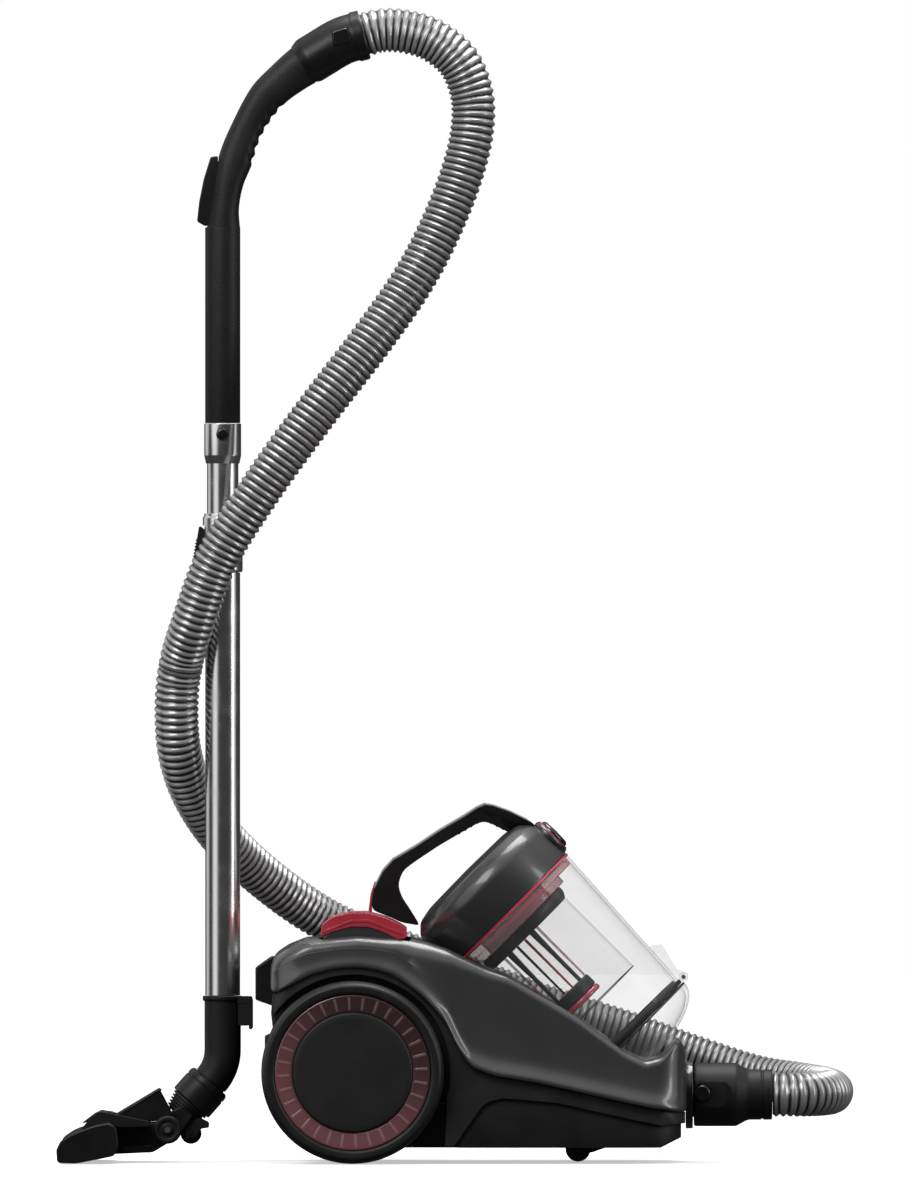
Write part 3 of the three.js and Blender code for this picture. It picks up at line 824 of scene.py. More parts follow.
@dataclass(frozen=True)
class Clear(Finish):
    """Clear or tinted plastic: light passes straight through, thin film of dust and moulding waves."""

    name: str
    tint: Colour
    dusty: Colour
    cover: float = 0.12
    roughness: float = 0.06
    wave: float = 0.05
    edge: float = 0.6

    def write(self, book: Book) -> None:
        """Alpha for the wall, more at the haze, gloss over all.

        Args:
            book: the material being written.
        """
        haze = book.noise(30, 3)
        rim = book.node("ShaderNodeLayerWeight", None, {"Blend": 0.35})
        facing = Value(book, rim.outputs["Facing"])
        book.set(
            Base_Color=book.mix(haze, self.tint, self.dusty),
            Roughness=haze * 0.08 + self.roughness,
            Alpha=(haze * 0.05 + self.cover + facing ** 4.0 * self.edge).least(1.0),
            IOR=1.49,
        )
        book.bump(book.noise(14, 1), self.wave)


@dataclass(frozen=True)
class Ribbed(Finish):
    """The hose's silver-grey plastic: pale on the ribs, with painted shade darkening the grooves."""

    name: str
    groove_shade: Colour
    rib: Colour

    def write(self, book: Book) -> None:
        """The tone follows the stored height of the ribs, as painted shade in the grooves; faint dust varies
        it all over.

        Args:
            book: the material being written.
        """
        height = book.attribute("rib")
        dust = book.noise(12, 3)
        # painted shade: where the stored rib height is low, in the grooves, the colour goes to the dark
        # groove shade
        tone = height.ramp(0.06, 0.55) * (dust * 0.2 + 0.84)
        book.set(
            Base_Color=book.mix(tone, self.groove_shade, self.rib),
            Metallic=0.45,
            Roughness=dust * 0.12 + 0.24,
            Coat_Weight=0.3,
            Coat_Roughness=0.1,
        )
        book.bump(book.noise(3, 2), 0.03)


@dataclass(frozen=True)
class Rubber(Finish):
    """Dull black rubber with dust and fine scuffs."""

    name: str
    dark: Colour = (0.008, 0.008, 0.0085)
    dusty: Colour = (0.018, 0.018, 0.018)
    roughness: float = 0.62

    def write(self, book: Book) -> None:
        """Dust in the colour, scuffs in the gloss and bump.

        Args:
            book: the material being written.
        """
        dust = book.noise(18, 4)
        scuffs = book.noise(1.1, 3)
        book.set(
            Base_Color=book.mix(dust.ramp(0.35, 0.8), self.dark, self.dusty),
            Roughness=scuffs * 0.12 + (self.roughness - 0.06),
            Specular_IOR_Level=0.35,
        )
        book.bump(scuffs, 0.06)


@dataclass(frozen=True)
class RingTint(Finish):
    """The wheel's see-through dusky ring: light ticks all round, and painted light and shade that is lighter
    towards the rear and bottom and darker towards the front and top.
    """

    name: str
    centre: Vec
    ticks: int = 32

    def write(self, book: Book) -> None:
        """Ticks from the angle round the axle; painted light and shade from the place across it.

        Args:
            book: the material being written.
        """
        x, _, z = book.xyz(self.centre)
        angle = z.angle(x)
        reach = (x * x + z * z).root()
        ticks = (
            angle * self.ticks
        ).sine().ramp(0.72, 0.98) * reach.ramp(61.5, 63.5) * reach.ramp(76.0, 74.0)
        # painted light and shade: the ring's ground colour is lighter towards the rear and bottom and darker
        # towards the front and top
        tone = (x * -0.6 + z * -1.0).ramp(-80, 70)
        shaded_ground = book.mix(tone, (0.05, 0.024, 0.026), (0.2, 0.075, 0.085))
        book.set(
            Base_Color=book.mix(ticks * 0.35, shaded_ground, (0.42, 0.27, 0.29)),
            Roughness=book.noise(8, 2) * 0.1 + 0.16,
            Coat_Weight=0.5,
            Coat_Roughness=0.05,
        )
        book.bump(ticks, 0.3)


BLACK = Moulded(
    "black_plastic", (0.007, 0.007, 0.0075), (0.012, 0.012, 0.0125), 0.36, 0.08, 0.7, 0.05, gloss=0.3,
)
GRAINED = Moulded(
    "grained_black", (0.006, 0.006, 0.0065), (0.011, 0.011, 0.0115), 0.5, 0.1, 0.8, 0.12, gloss=0.3,
)
GLOSSY = Moulded(
    "glossy_black", (0.006, 0.006, 0.0065), (0.01, 0.01, 0.0105), 0.16, 0.05, 1.6, 0.015, coat=0.5,
)
SKIRT = Moulded(
    "dark_grey", (0.026, 0.0265, 0.027), (0.036, 0.0365, 0.037), 0.38, 0.08, 0.8, 0.05, gloss=0.3,
)
LIP = Moulded("light_grey", (0.27, 0.27, 0.275), (0.34, 0.34, 0.345), 0.36, 0.06, 0.9, 0.03)
BODY = Lacquer("housing", (0.042, 0.0425, 0.0435), (0.085, 0.0855, 0.087))
HEAD_BODY = Lacquer("head_lacquer", (0.03, 0.03, 0.031), (0.065, 0.0655, 0.067))
RED = Moulded("red_plastic", (0.46, 0.035, 0.06), (0.56, 0.05, 0.08), 0.2, 0.06, 1.2, 0.02, coat=0.5)
HUB = Moulded("hub", (0.014, 0.014, 0.0145), (0.019, 0.019, 0.0195), 0.5, 0.08, 0.7, 0.06, gloss=0.3)
TYRE = Rubber("tyre", (0.009, 0.009, 0.0095), (0.016, 0.016, 0.016), 0.46)
SEAL = Rubber("rubber")
STEEL = Moulded("steel", (0.42, 0.42, 0.43), (0.52, 0.52, 0.53), 0.3, 0.1, 0.5, 0.02, metallic=1.0)
FOAM = Moulded("foam", (0.3, 0.3, 0.29), (0.42, 0.42, 0.4), 0.9, 0.05, 1.4, 0.5)
BOARD = Moulded("board", (0.02, 0.11, 0.045), (0.03, 0.16, 0.06), 0.5, 0.1, 3.0, 0.1)
CHROME = Chrome("chrome_tube")
GLASS = Clear("clear_plastic", (0.3, 0.305, 0.31), (0.42, 0.42, 0.425), 0.04)
MESH = Clear("filter_mesh", (0.3, 0.3, 0.3), (0.4, 0.4, 0.4), 0.02, 0.3, edge=0.1)
RED_GLASS = Clear("red_clear", (0.6, 0.05, 0.09), (0.68, 0.09, 0.13), 0.5, 0.1)
BRISTLE = Moulded("bristle", (0.03, 0.03, 0.03), (0.07, 0.07, 0.07), 0.8, 0.1, 0.35, 0.4)


def dress(
    piece: bpy.types.Object, finish: Finish, body: str, slot: str, *stands_for: str,
) -> bpy.types.Object:
    """Gives a finished piece its material and its body, and hides the CAD nodes it stands for.

    Args:
        piece: the object to work on.
        finish: what it is made of.
        body: the body it rides on.
        slot: not used.
        stands_for: the CAD nodes it stands for.

    Returns:
        The same piece.
    """
    piece.data.materials.clear()
    piece.data.materials.append(finish.material())
    if body:
        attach(piece, body)
    if stands_for:
        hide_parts(*stands_for)
    return piece


def carry_over(node: str, finish: Finish) -> None:
    """Gives a CAD node that is shown as it is its material.

    Args:
        node: the CAD node.
        finish: what it is made of.
    """
    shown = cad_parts[node]
    shown.data.materials.clear()
    shown.data.materials.append(finish.material())


# ---------------------------------------------------------------- canister


@dataclass
class Canister:
    """The body on wheels: lacquered shell, dark skirt, black tray, pedals, socket and the inner parts."""

    half: float = 113.0
    rear: float = low_high("upper_housing", 0)[0]
    nose: float = low_high("upper_housing", 0)[1]
    nose_half: float = 60.0
    nose_start: float = 200.0
    flare: float = 8.0
    arch: float = 97.5
    wheel: Flat = mid_of("main_axle")
    core_half: float = 99.0
    wall: float = 3.2
    top_line: list[Flat] = field(default_factory=lambda: [
        (-146, 199), (-141, 207), (-126, 217), (-108, 224), (-94, 224.5), (-74, 226), (-57, 227.5),
        (-34, 226),
        (-9, 225.5), (14, 220), (34, 213), (70, 195), (93, 186.5), (121, 170), (144, 157), (165, 144),
        (182, 131), (210, 111), (230, 101.5), (246, 106), (255, 116), (262, 125), (268, 118), (272, 108),
    ])
    lower_line: list[Flat] = field(default_factory=lambda: [
        (-146, 166), (-140.4, 168.7), (-104, 188), (-80, 194.5), (-59, 196), (-40, 193.5), (-20, 187),
        (8, 166),
        (31, 140.5), (42, 115), (56, 95.5), (78.5, 87), (121, 80), (177, 67.5), (233, 55), (264, 51),
        (272, 51),
    ])
    recess_line: list[Flat] = field(default_factory=lambda: [
        (39, 17), (52, 36), (67, 57), (75, 62), (87, 65), (108, 63.5), (144, 60), (200, 47.5), (247, 37.5),
        (275, 40),
    ])

    def half_at(self, x: float) -> float:
        """The shell's half width at x: rounded in plan at both ends.

        Args:
            x: the place along the cleaner.

        Returns:
            The half width in millimetres.
        """
        if x > self.nose_start:
            share = min(1.0, (x - self.nose_start) / (self.nose + 0.3 - self.nose_start))
            return self.nose_half + (self.half - self.nose_half) * (1 - share**3) ** (1 / 3)
        share = max(0.0, (-104.0 - x) / (-104.0 - self.rear))
        return self.half - 13.0 * share**2.5

    def section(self, x: float, inset: float, up: float = 0.0) -> list[Flat]:
        """The near half of the shell's section at x, as y and z, from the middle of the floor to the top.

        Args:
            x: where it is cut.
            inset: how far inside the surface it lies.
            up: how far the bottom is moved up.

        Returns:
            The points.
        """
        low = soft_line(self.lower_line, x, 7) + up
        top = soft_line(self.top_line, x, 2.5) - inset
        w = self.half_at(x) - inset
        flare = 0.0 if inset else self.flare * (0.35 + 0.65 * smoothstep(-60, 30, x))
        rise = top - low
        turn = min(24 - 15 * smoothstep(-20, 110, x), rise * 0.55)
        points = [(0.0, low), (w * 0.5, low), (w - 7, low), (w + flare * 0.7, low + 0.2)]
        for lift, push in (
            (1.2, 0.93), (2.6, 1.0), (4.4, 0.97), (6.6, 0.84), (9.5, 0.62), (13, 0.38), (18, 0.17),
            (24, 0.05),
        ):
            points.append((w + flare * push, low + lift * min(1.0, rise / 40)))
        shoulder = max(top - turn, points[-1][1] + 0.5)
        for share in (0.33, 0.66, 1.0):
            points.append((w - 1.5 * share, points[11][1] + (shoulder - points[11][1]) * share))
        for k in range(1, 9):
            angle = k / 8 * math.pi / 2
            points.append(
                (w - 1.5 - turn * (1 - math.cos(angle)), shoulder + (top - shoulder) * math.sin(angle))
            )
        points += [(w * 0.6, top), (w * 0.3, top), (0.0, top)]
        return points

    def loft(
        self, name: str, stations: list[tuple[float, float]], inset: float, up: float = 0.0,
    ) -> bpy.types.Object:
        """The shell's outside as one closed skin.

        Args:
            name: its name.
            stations: each an x and an extra inset towards the section's middle.
            inset: how far inside the surface it lies.
            up: how far the bottom is moved up.

        Returns:
            The closed piece.
        """
        rings = []
        for x, draw in stations:
            half = self.section(x, inset, up)
            middle = (half[0][1] + half[-1][1]) / 2
            reach = max(p[0] for p in half)
            rise = abs(half[-1][1] - half[0][1]) / 2
            half = [(y * (1 - draw / reach), middle + (z - middle) * (1 - draw / rise)) for y, z in half]
            loop = [(x, -y, z) for y, z in half] + [(x, y, z) for y, z in reversed(half[1:-1])]
            rings.append(loop)
        return Bench.skin(name, np.array(rings))

    def plan(self, name: str, inset: float, low: float, high: float, rear: float) -> bpy.types.Object:
        """A prism with the body's outline seen from above.

        Args:
            name: its name.
            inset: how far inside the surface it lies.
            low: its lowest z.
            high: its highest z.
            rear: where it starts at the back.

        Returns:
            The closed piece.
        """
        reach = self.nose - self.nose_start
        near = [
            (float(x), -(self.half_at(float(x)) - inset), low)
            for x in (rear, *range(math.ceil(rear / 10) * 10 + 10, 200, 20))
        ]
        for k in range(17):
            share = 1 - (1 - k / 16) ** 2
            wide = self.half_at(self.nose_start + share * reach)
            near.append((self.nose_start + share * (reach - inset), -(wide - inset), low))
        far = [(x, -y, z) for x, y, z in reversed(near)]
        piece = Bench.chain(name, near + far)
        bpy.ops.mesh.edge_face_add()
        bpy.ops.mesh.extrude_region_move(TRANSFORM_OT_translate={"value": (0, 0, (high - low) * MM)})
        return Bench.tidy(piece)

    def cradle(self, name: str, clearance: float) -> list[bpy.types.Object]:
        """The hollow that the cup sits in and lifts out of, as cutters.

        Args:
            name: its name.
            clearance: the room left round the cup.

        Returns:
            The cutters.
        """
        outer, rim, length = CUP.top + clearance, CUP.rim + 2 + clearance, CUP.length + 1
        profile = [(0, -90), (outer, -90), (outer, 2), (rim, length)]
        for k in range(1, 9):
            angle = k / 8 * math.pi / 2
            profile.append(
                (rim * math.cos(angle) if k < 8 else 0, length + (CUP.dome + clearance) * math.sin(angle))
            )
        bowl = Bench.turned(name, profile, CUP.seam, CUP.axis, 96)
        ways = []
        for half, start, end in (
            (85 + clearance - 2.5, -90, 60), (79 + clearance - 2.5, 55, CUP.length + 30),
        ):
            a, b = CUP.at(start), CUP.at(end)
            ways.append(
                Bench.plate(
                    name + "_way", [(a[0], a[2]), (b[0], b[2]), (b[0], 420), (a[0], 420)], -half, half,
                )
            )
        return [bowl, *ways]

    def shell(self) -> bpy.types.Object:
        """The upper shell, hollowed, with the cup's cradle, a pale rim round it and the pedals' wells.

        Returns:
            The shell.
        """
        ends = [
            (self.rear, 9.0), (self.rear + 0.7, 5.5), (self.rear + 2, 3.0), (self.rear + 4.5, 1.0),
            (self.rear + 8, 0.0),
        ]
        middle = [(float(x), 0.0) for x in np.arange(-132, 268, 4)]
        front = [(268.0, 0.3), (270.0, 1.2), (self.nose, 3.0)]
        outside = self.loft("upper_shell", ends + middle + front, 0.0)
        hollow = self.loft(
            "shell_hollow",
            [(x, 0.0) for x in (-139.0, *np.arange(-132, 256, 6).tolist(), 257.0, 262.0, 267.4)],
            self.wall, -8.0,
        )
        Bench.cut(hollow, *self.cradle("cradle_wall", 5.5))
        Bench.cut(outside, hollow)
        outside.data.materials.append(BODY.material())
        outside.data.materials.append(LIP.material())
        tools = self.cradle("cradle", 2.5)
        for tool in tools:
            tool.data.materials.append(LIP.material())
        for side in Side:
            low, high = sorted((side.value * 33, side.value * 101))
            well = Bench.plate("pedal_well", [(-96, 216), (-96, 262), (-4, 262), (-4, 216)], low, high, 5)
            well.data.materials.append(BLACK.material())
            tools.append(well)
        outside.data.materials.append(BLACK.material())
        Bench.cut(outside, *tools)
        self.edge_rim(outside)
        Bench.tidy(outside, 32)
        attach(outside, "canister")
        return outside

    def edge_rim(self, shell: bpy.types.Object) -> None:
        """Rounds the edge where the cradle was cut, with the pale material on the round.

        Args:
            shell: the shell with its cradle cut.
        """
        mesh = shell.data
        kind: dict[tuple[int, int], set[int]] = {}
        for face in mesh.polygons:
            for key in face.edge_keys:
                kind.setdefault(key, set()).add(face.material_index)
        Bench.pick(shell)
        bpy.ops.object.mode_set(mode="EDIT")
        bpy.ops.mesh.select_mode(type="EDGE")
        bpy.ops.mesh.select_all(action="DESELECT")
        bpy.ops.object.mode_set(mode="OBJECT")
        for edge in mesh.edges:
            high = min(
                mesh.vertices[v].co.z - soft_line(self.top_line, mesh.vertices[v].co.x / MM, 2.5) * MM
                for v in edge.vertices
            )
            edge.select = kind[tuple(sorted(edge.vertices))] == {0, 1} and high > -6 * MM
        bpy.ops.object.mode_set(mode="EDIT")
        bpy.ops.mesh.bevel(offset=3.2 * MM, segments=3, affect="EDGES", clamp_overlap=True, material=1)
        bpy.ops.object.mode_set(mode="OBJECT")

    def skirt(self) -> bpy.types.Object:
        """The dark panel under the shell: it wraps the wheel arch and runs forward over the black recess.

        Returns:
            The panel.
        """
        top = [(x, soft_line(self.lower_line, x, 7) - 0.6) for x in np.arange(-139, 271.3, 5)]
        arc = []
        for k in range(25):
            angle = math.radians(-16 + k * (146 - -16) / 24)
            arc.append(
                (self.wheel[0] + self.arch * math.cos(angle), self.wheel[1] + self.arch * math.sin(angle))
            )
        bottom = [(x, z) for x, z in reversed(self.recess_line) if x < 272]
        outline = [
            (float(x), float(z)) for x, z in top
        ] + [(self.nose, 40)] + bottom + [(30, 17), (31.5, 50)] + arc
        panel = Bench.plate("skirt", outline, -130, 130)
        Bench.within(panel, self.plan("plan", 1.5, 0, 240, -141))
        Bench.cut(panel, self.plan("plan_inner", 15.0, -5, 245, -160))
        front_hole = rod("front_hole", 33, -30, 10, (self.nose, 0, INLET_Z), (1, 0, 0))
        Bench.cut(panel, front_hole)
        Bench.bevel(panel, 1.8, 3, 40)
        return dress(panel, SKIRT, "canister", "housing")

    def core(self) -> bpy.types.Object:
        """The middle of the body between the wheels, closed at the back.

        Returns:
            The middle piece.
        """
        top = [(float(x), soft_line(self.lower_line, float(x), 7) + 1.0) for x in np.arange(-142, 60, 6)]
        outline = [(-128, 62.8), (-138, 100), (-143.4, 150), *top, (60, 62.8)]
        core = Bench.plate("core", outline, -self.core_half, self.core_half, 4)
        inside = [(-124, 40), (-134, 100), (-139, 150), (-139, 240), (80, 240), (80, 40)]
        Bench.cut(core, Bench.plate("core_room", inside, -96.4, 96.4))
        axle_hole = rod("axle_hole", 8.5, -130, 130, (self.wheel[0], 0, self.wheel[1]), (0, 1, 0))
        Bench.cut(core, axle_hole)
        return dress(core, GRAINED, "canister", "black_plastic")

    def tray(self) -> bpy.types.Object:
        """The black lower tray with the caster's pocket.

        Returns:
            The tray.
        """
        wide_line = [
            (43, 15.5), (245, 15.5), (258, 22), (269, 27), (270.6, 39.6),
            *((x, z - 0.8) for x, z in reversed(self.recess_line) if 60 < x < 260), (43, 24),
        ]
        wide = Bench.plate("tray", wide_line, -125, 125)
        Bench.within(wide, self.plan("tray_plan", 5.5, 0, 90, 20))
        core = Bench.plate(
            "tray_core", [(-128, 62.2), (-124, 35), (-110, 18), (-90, 15.5), (60, 15.5), (60, 62.2)], -97,
            97, 3,
        )
        Bench.fused("tray", wide, core)
        room = Bench.plate(
            "tray_room",
            [(-124.5, 80), (-120.5, 37), (-108, 21), (-88, 18.5), (243, 18.5), (252, 27), (252, 80)], -93.5,
            93.5,
        )
        post = [
            Bench.plate(
                "axle_post", [(-76, 17), (-48, 17), (-52, 104), (-72, 104)],
                *sorted((s.value * 80, s.value * 92.5)), 1.5,
            )
            for s in Side
        ]
        Bench.cut(wide, room, rod("pocket", 29.5, 10, 40, (172, 0, 0), (0, 0, 1), 64))
        Bench.bevel(wide, 1.6, 3, 40)
        dome = Bench.turned(
            "caster_pocket",
            rounded(
                [(32, 15.6), (32, 31.5), (4.4, 31.5), (4.4, 28.5), (29.5, 28.5), (29.5, 15.6), (32, 15.6)],
                1.5,
            ),
            (172, 0, 0), (0, 0, 1),
        )
        tray = Bench.merged("lower_tray", wide, dome, *post)
        Bench.cut(tray, rod("axle_bore", 6.5, -110, 110, (self.wheel[0], 0, self.wheel[1]), (0, 1, 0)))
        return dress(tray, GRAINED, "canister", "black_plastic", "lower_chassis")

    def pedals(self) -> None:
        """The two red foot switches, with a glossy top and a fine groove above the foot."""
        line = [
            (-94, 225.6), (-93, 237), (-83, 245.4), (-65, 249.6), (-47, 249.8), (-29, 244.8), (-18, 239.8),
            (-8, 233.6), (-8.6, 224), (-17, 222.8), (-30, 230), (-46, 235.4), (-63, 235.8), (-80, 231.4),
        ]
        bed = [
            (-91, 220.6), (-91, 226), (-80, 232.4), (-63, 236.8), (-46, 236.4), (-30, 231), (-17, 224),
            (-11, 223), (-11, 220.6),
        ]
        for side, node in ((Side.NEAR, "power_pedal"), (Side.FAR, "rewind_pedal")):
            low, high = sorted((side.value * 36, side.value * 98))
            top = Bench.plate(node, loop_rounded(line, 2.4), low, high, 2.2, 4)
            lip = Bench.plate(
                "pedal_lip",
                loop_rounded(
                    [
                        (-92, 229), (-64, 240.4), (-46, 240.6), (-12, 227.4), (-12, 229.6), (-46, 242.8),
                        (-64, 242.6), (-92, 231.4),
                    ],
                    1,
                ),
                low - 0.7, high + 0.7, 0.7,
            )
            body = "power_switch" if side is Side.NEAR else "rewind_switch"
            dress(Bench.merged(node + "_visual", top, lip), RED, body, "red_plastic", node)
            dress(Bench.plate(node + "_bed", bed, low + 1.2, high - 1.2, 1), BODY, body, "housing")

    def fittings(self) -> None:
        """Parking socket, cord outlet, inlet ring and everything inside."""
        block = Bench.plate(
            "parking_block",
            [(-159.5, 194), (-143.6, 205.4), (-139.5, 205.4), (-139.5, 155), (-145.6, 157), (-159.5, 162)],
            -24, 24, 1.6,
        )
        Bench.cut(
            block,
            Bench.plate(
                "park_slot", [(-156.2, 168), (-149.5, 168), (-149.5, 230), (-156.2, 230)], -15, 15, 1.5,
            ),
        )
        dress(block, BLACK, "canister", "black_plastic", "parking_socket")
        gland = Bench.turned(
            "gland", rounded([(4.5, 0), (9, 0), (9, 4), (7, 8), (4.5, 8), (4.5, 0)], 1.2),
            (-142.6, 60, 118), (-1, 0, 0), 48,
        )
        dress(gland, SEAL, "canister", "rubber", "cord_outlet")
        ring = Bench.turned(
            "inlet_ring_visual",
            rounded(
                [
                    (22.4, -0.9), (34, -0.9), (34, 6.2), (30.5, 6.2), (29.6, 5), (24, 5), (22.4, 3.4),
                    (22.4, -0.9),
                ],
                0.9,
            ),
            (271.6, 0, INLET_Z), (1, 0, 0), 96,
        )
        dress(ring, GLOSSY, "canister", "black_plastic", "inlet_ring")
        for node, finish in (
            ("motor_body", SKIRT), ("fan_impeller", SKIRT), ("cord_reel", BLACK), ("exhaust_filter", FOAM),
            ("control_board", BOARD), ("main_axle", STEEL), ("caster_fork", BLACK),
        ):
            carry_over(node, finish)

    def build(self) -> None:
        """Builds and dresses the whole canister."""
        shell = self.shell()
        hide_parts("upper_housing")
        self.skirt()
        self.core()
        self.tray()
        self.pedals()
        self.fittings()


def soft_line(points: list[Flat], x: float, reach: float) -> float:
    """The height at x of a line, averaged over reach to each side so that its corners are soft.

    Args:
        points: the line's points, sorted by x.
        x: the place along the cleaner.
        reach: how far it is averaged.

    Returns:
        The height in millimetres.
    """
    offsets = np.linspace(-reach, reach, 9)
    weights = np.exp(-((offsets / reach) ** 2) * 2)
    heights = np.interp(x + offsets, [p[0] for p in points], [p[1] for p in points])
    return float((heights * weights).sum() / weights.sum())


INLET_Z = mid_of("inlet_ring")[1]


@dataclass(frozen=True)
class CupFrame:
    """Where the dust cup sits: its seam with the head, its sloping axis and its sizes."""

    seam: Vec = (94.5, 0.0, 248.3)
    axis: Vec = (math.sqrt(0.5), 0.0, -math.sqrt(0.5))
    top: float = 82.0
    rim: float = 72.0
    length: float = 175.0
    wall: float = 2.5
    dome: float = 28.0

    def at(self, t: float, r: float = 0.0) -> Vec:
        """The point at t along the axis and r towards the upper side."""
        half = math.sqrt(0.5)
        return (self.seam[0] + (t + r) * half, 0.0, self.seam[2] + (r - t) * half)

    def flat(self, t: float, r: float = 0.0) -> Flat:
        """The same point as x and z."""
        x, _, z = self.at(t, r)
        return x, z


CUP = CupFrame()


# ---------------------------------------------------------------- wheels


@dataclass
class Wheels:
    """The two big wheels, with tyre, tinted ring and hub, and the small caster in front."""

    centre: Vec = (mid_of("main_axle")[0], 0.0, mid_of("main_axle")[1])
    radius: float = half_width("tyre_far", 0)
    inner: float = low_high("tyre_far", 1)[0]
    outer: float = low_high("tyre_far", 1)[1]
    ring: float = half_width("wheel_ring_far", 0)
    hub: float = half_width("wheel_hub_far", 0)

    def big(self, side: Side) -> None:
        """One big wheel.

        Args:
            side: which wheel.
        """
        out = (0, side.value, 0)
        body = f"wheel_{side.label}"
        edge = self.outer
        tyre = Bench.turned(f"tyre_{side.label}_visual", rounded([
            (self.ring + 0.3, self.inner + 3), (85, self.inner), (self.radius - 1.5, self.inner + 1.5),
            (self.radius, self.inner + 7),
            (self.radius, edge - 9), (self.radius - 2.5, edge - 2.4), (86, edge), (80, edge - 0.4),
            (self.ring + 0.3, edge - 2),
            (self.ring + 0.3, self.inner + 3),
        ], 3.5), self.centre, out, 128)
        dress(tyre, TYRE, body, "tyre", f"tyre_{side.label}")
        ring = Bench.turned(f"ring_{side.label}_visual", rounded([
            (self.hub + 0.3, self.inner + 12), (self.ring, self.inner + 12), (self.ring, edge - 2.2),
            (self.ring - 1.5, edge - 1.5),
            (self.hub + 2, edge - 3.2), (self.hub + 0.3, edge - 3.6), (self.hub + 0.3, self.inner + 12),
        ], 0.8), self.centre, out, 128)
        dress(ring, RingTint("tinted_ring", self.centre), body, "tinted_ring", f"wheel_ring_{side.label}")
        hub = Bench.turned(f"hub_{side.label}_visual", rounded([
            (6.3, self.inner), (20, self.inner), (20, self.inner + 14), (self.hub, self.inner + 14),
            (self.hub, edge - 3),
            (self.hub - 1.6, edge - 1.4), (54, edge - 1), (18, edge - 1.2), (0, edge - 1.2),
        ], 1.2), self.centre, out, 128)
        dress(hub, HUB, body, "hub", f"wheel_hub_{side.label}")

    def caster(self) -> None:
        """The small wheel under the nose."""
        roll = Bench.turned("caster_visual", rounded([
            (0, -13), (2.5, -13), (2.5, -8), (10.8, -8), (12.5, -6), (12.5, 6), (10.8, 8), (2.5, 8),
            (2.5, 13), (0, 13),
        ], 0.8), (163, 0, 12.5), (0, 1, 0), 64)
        dress(roll, TYRE, "caster_roller", "tyre", "caster_wheel")

    def build(self) -> None:
        """Builds and dresses all wheels."""
        for side in Side:
            self.big(side)
        self.caster()


# ---------------------------------------------------------------- dust cup


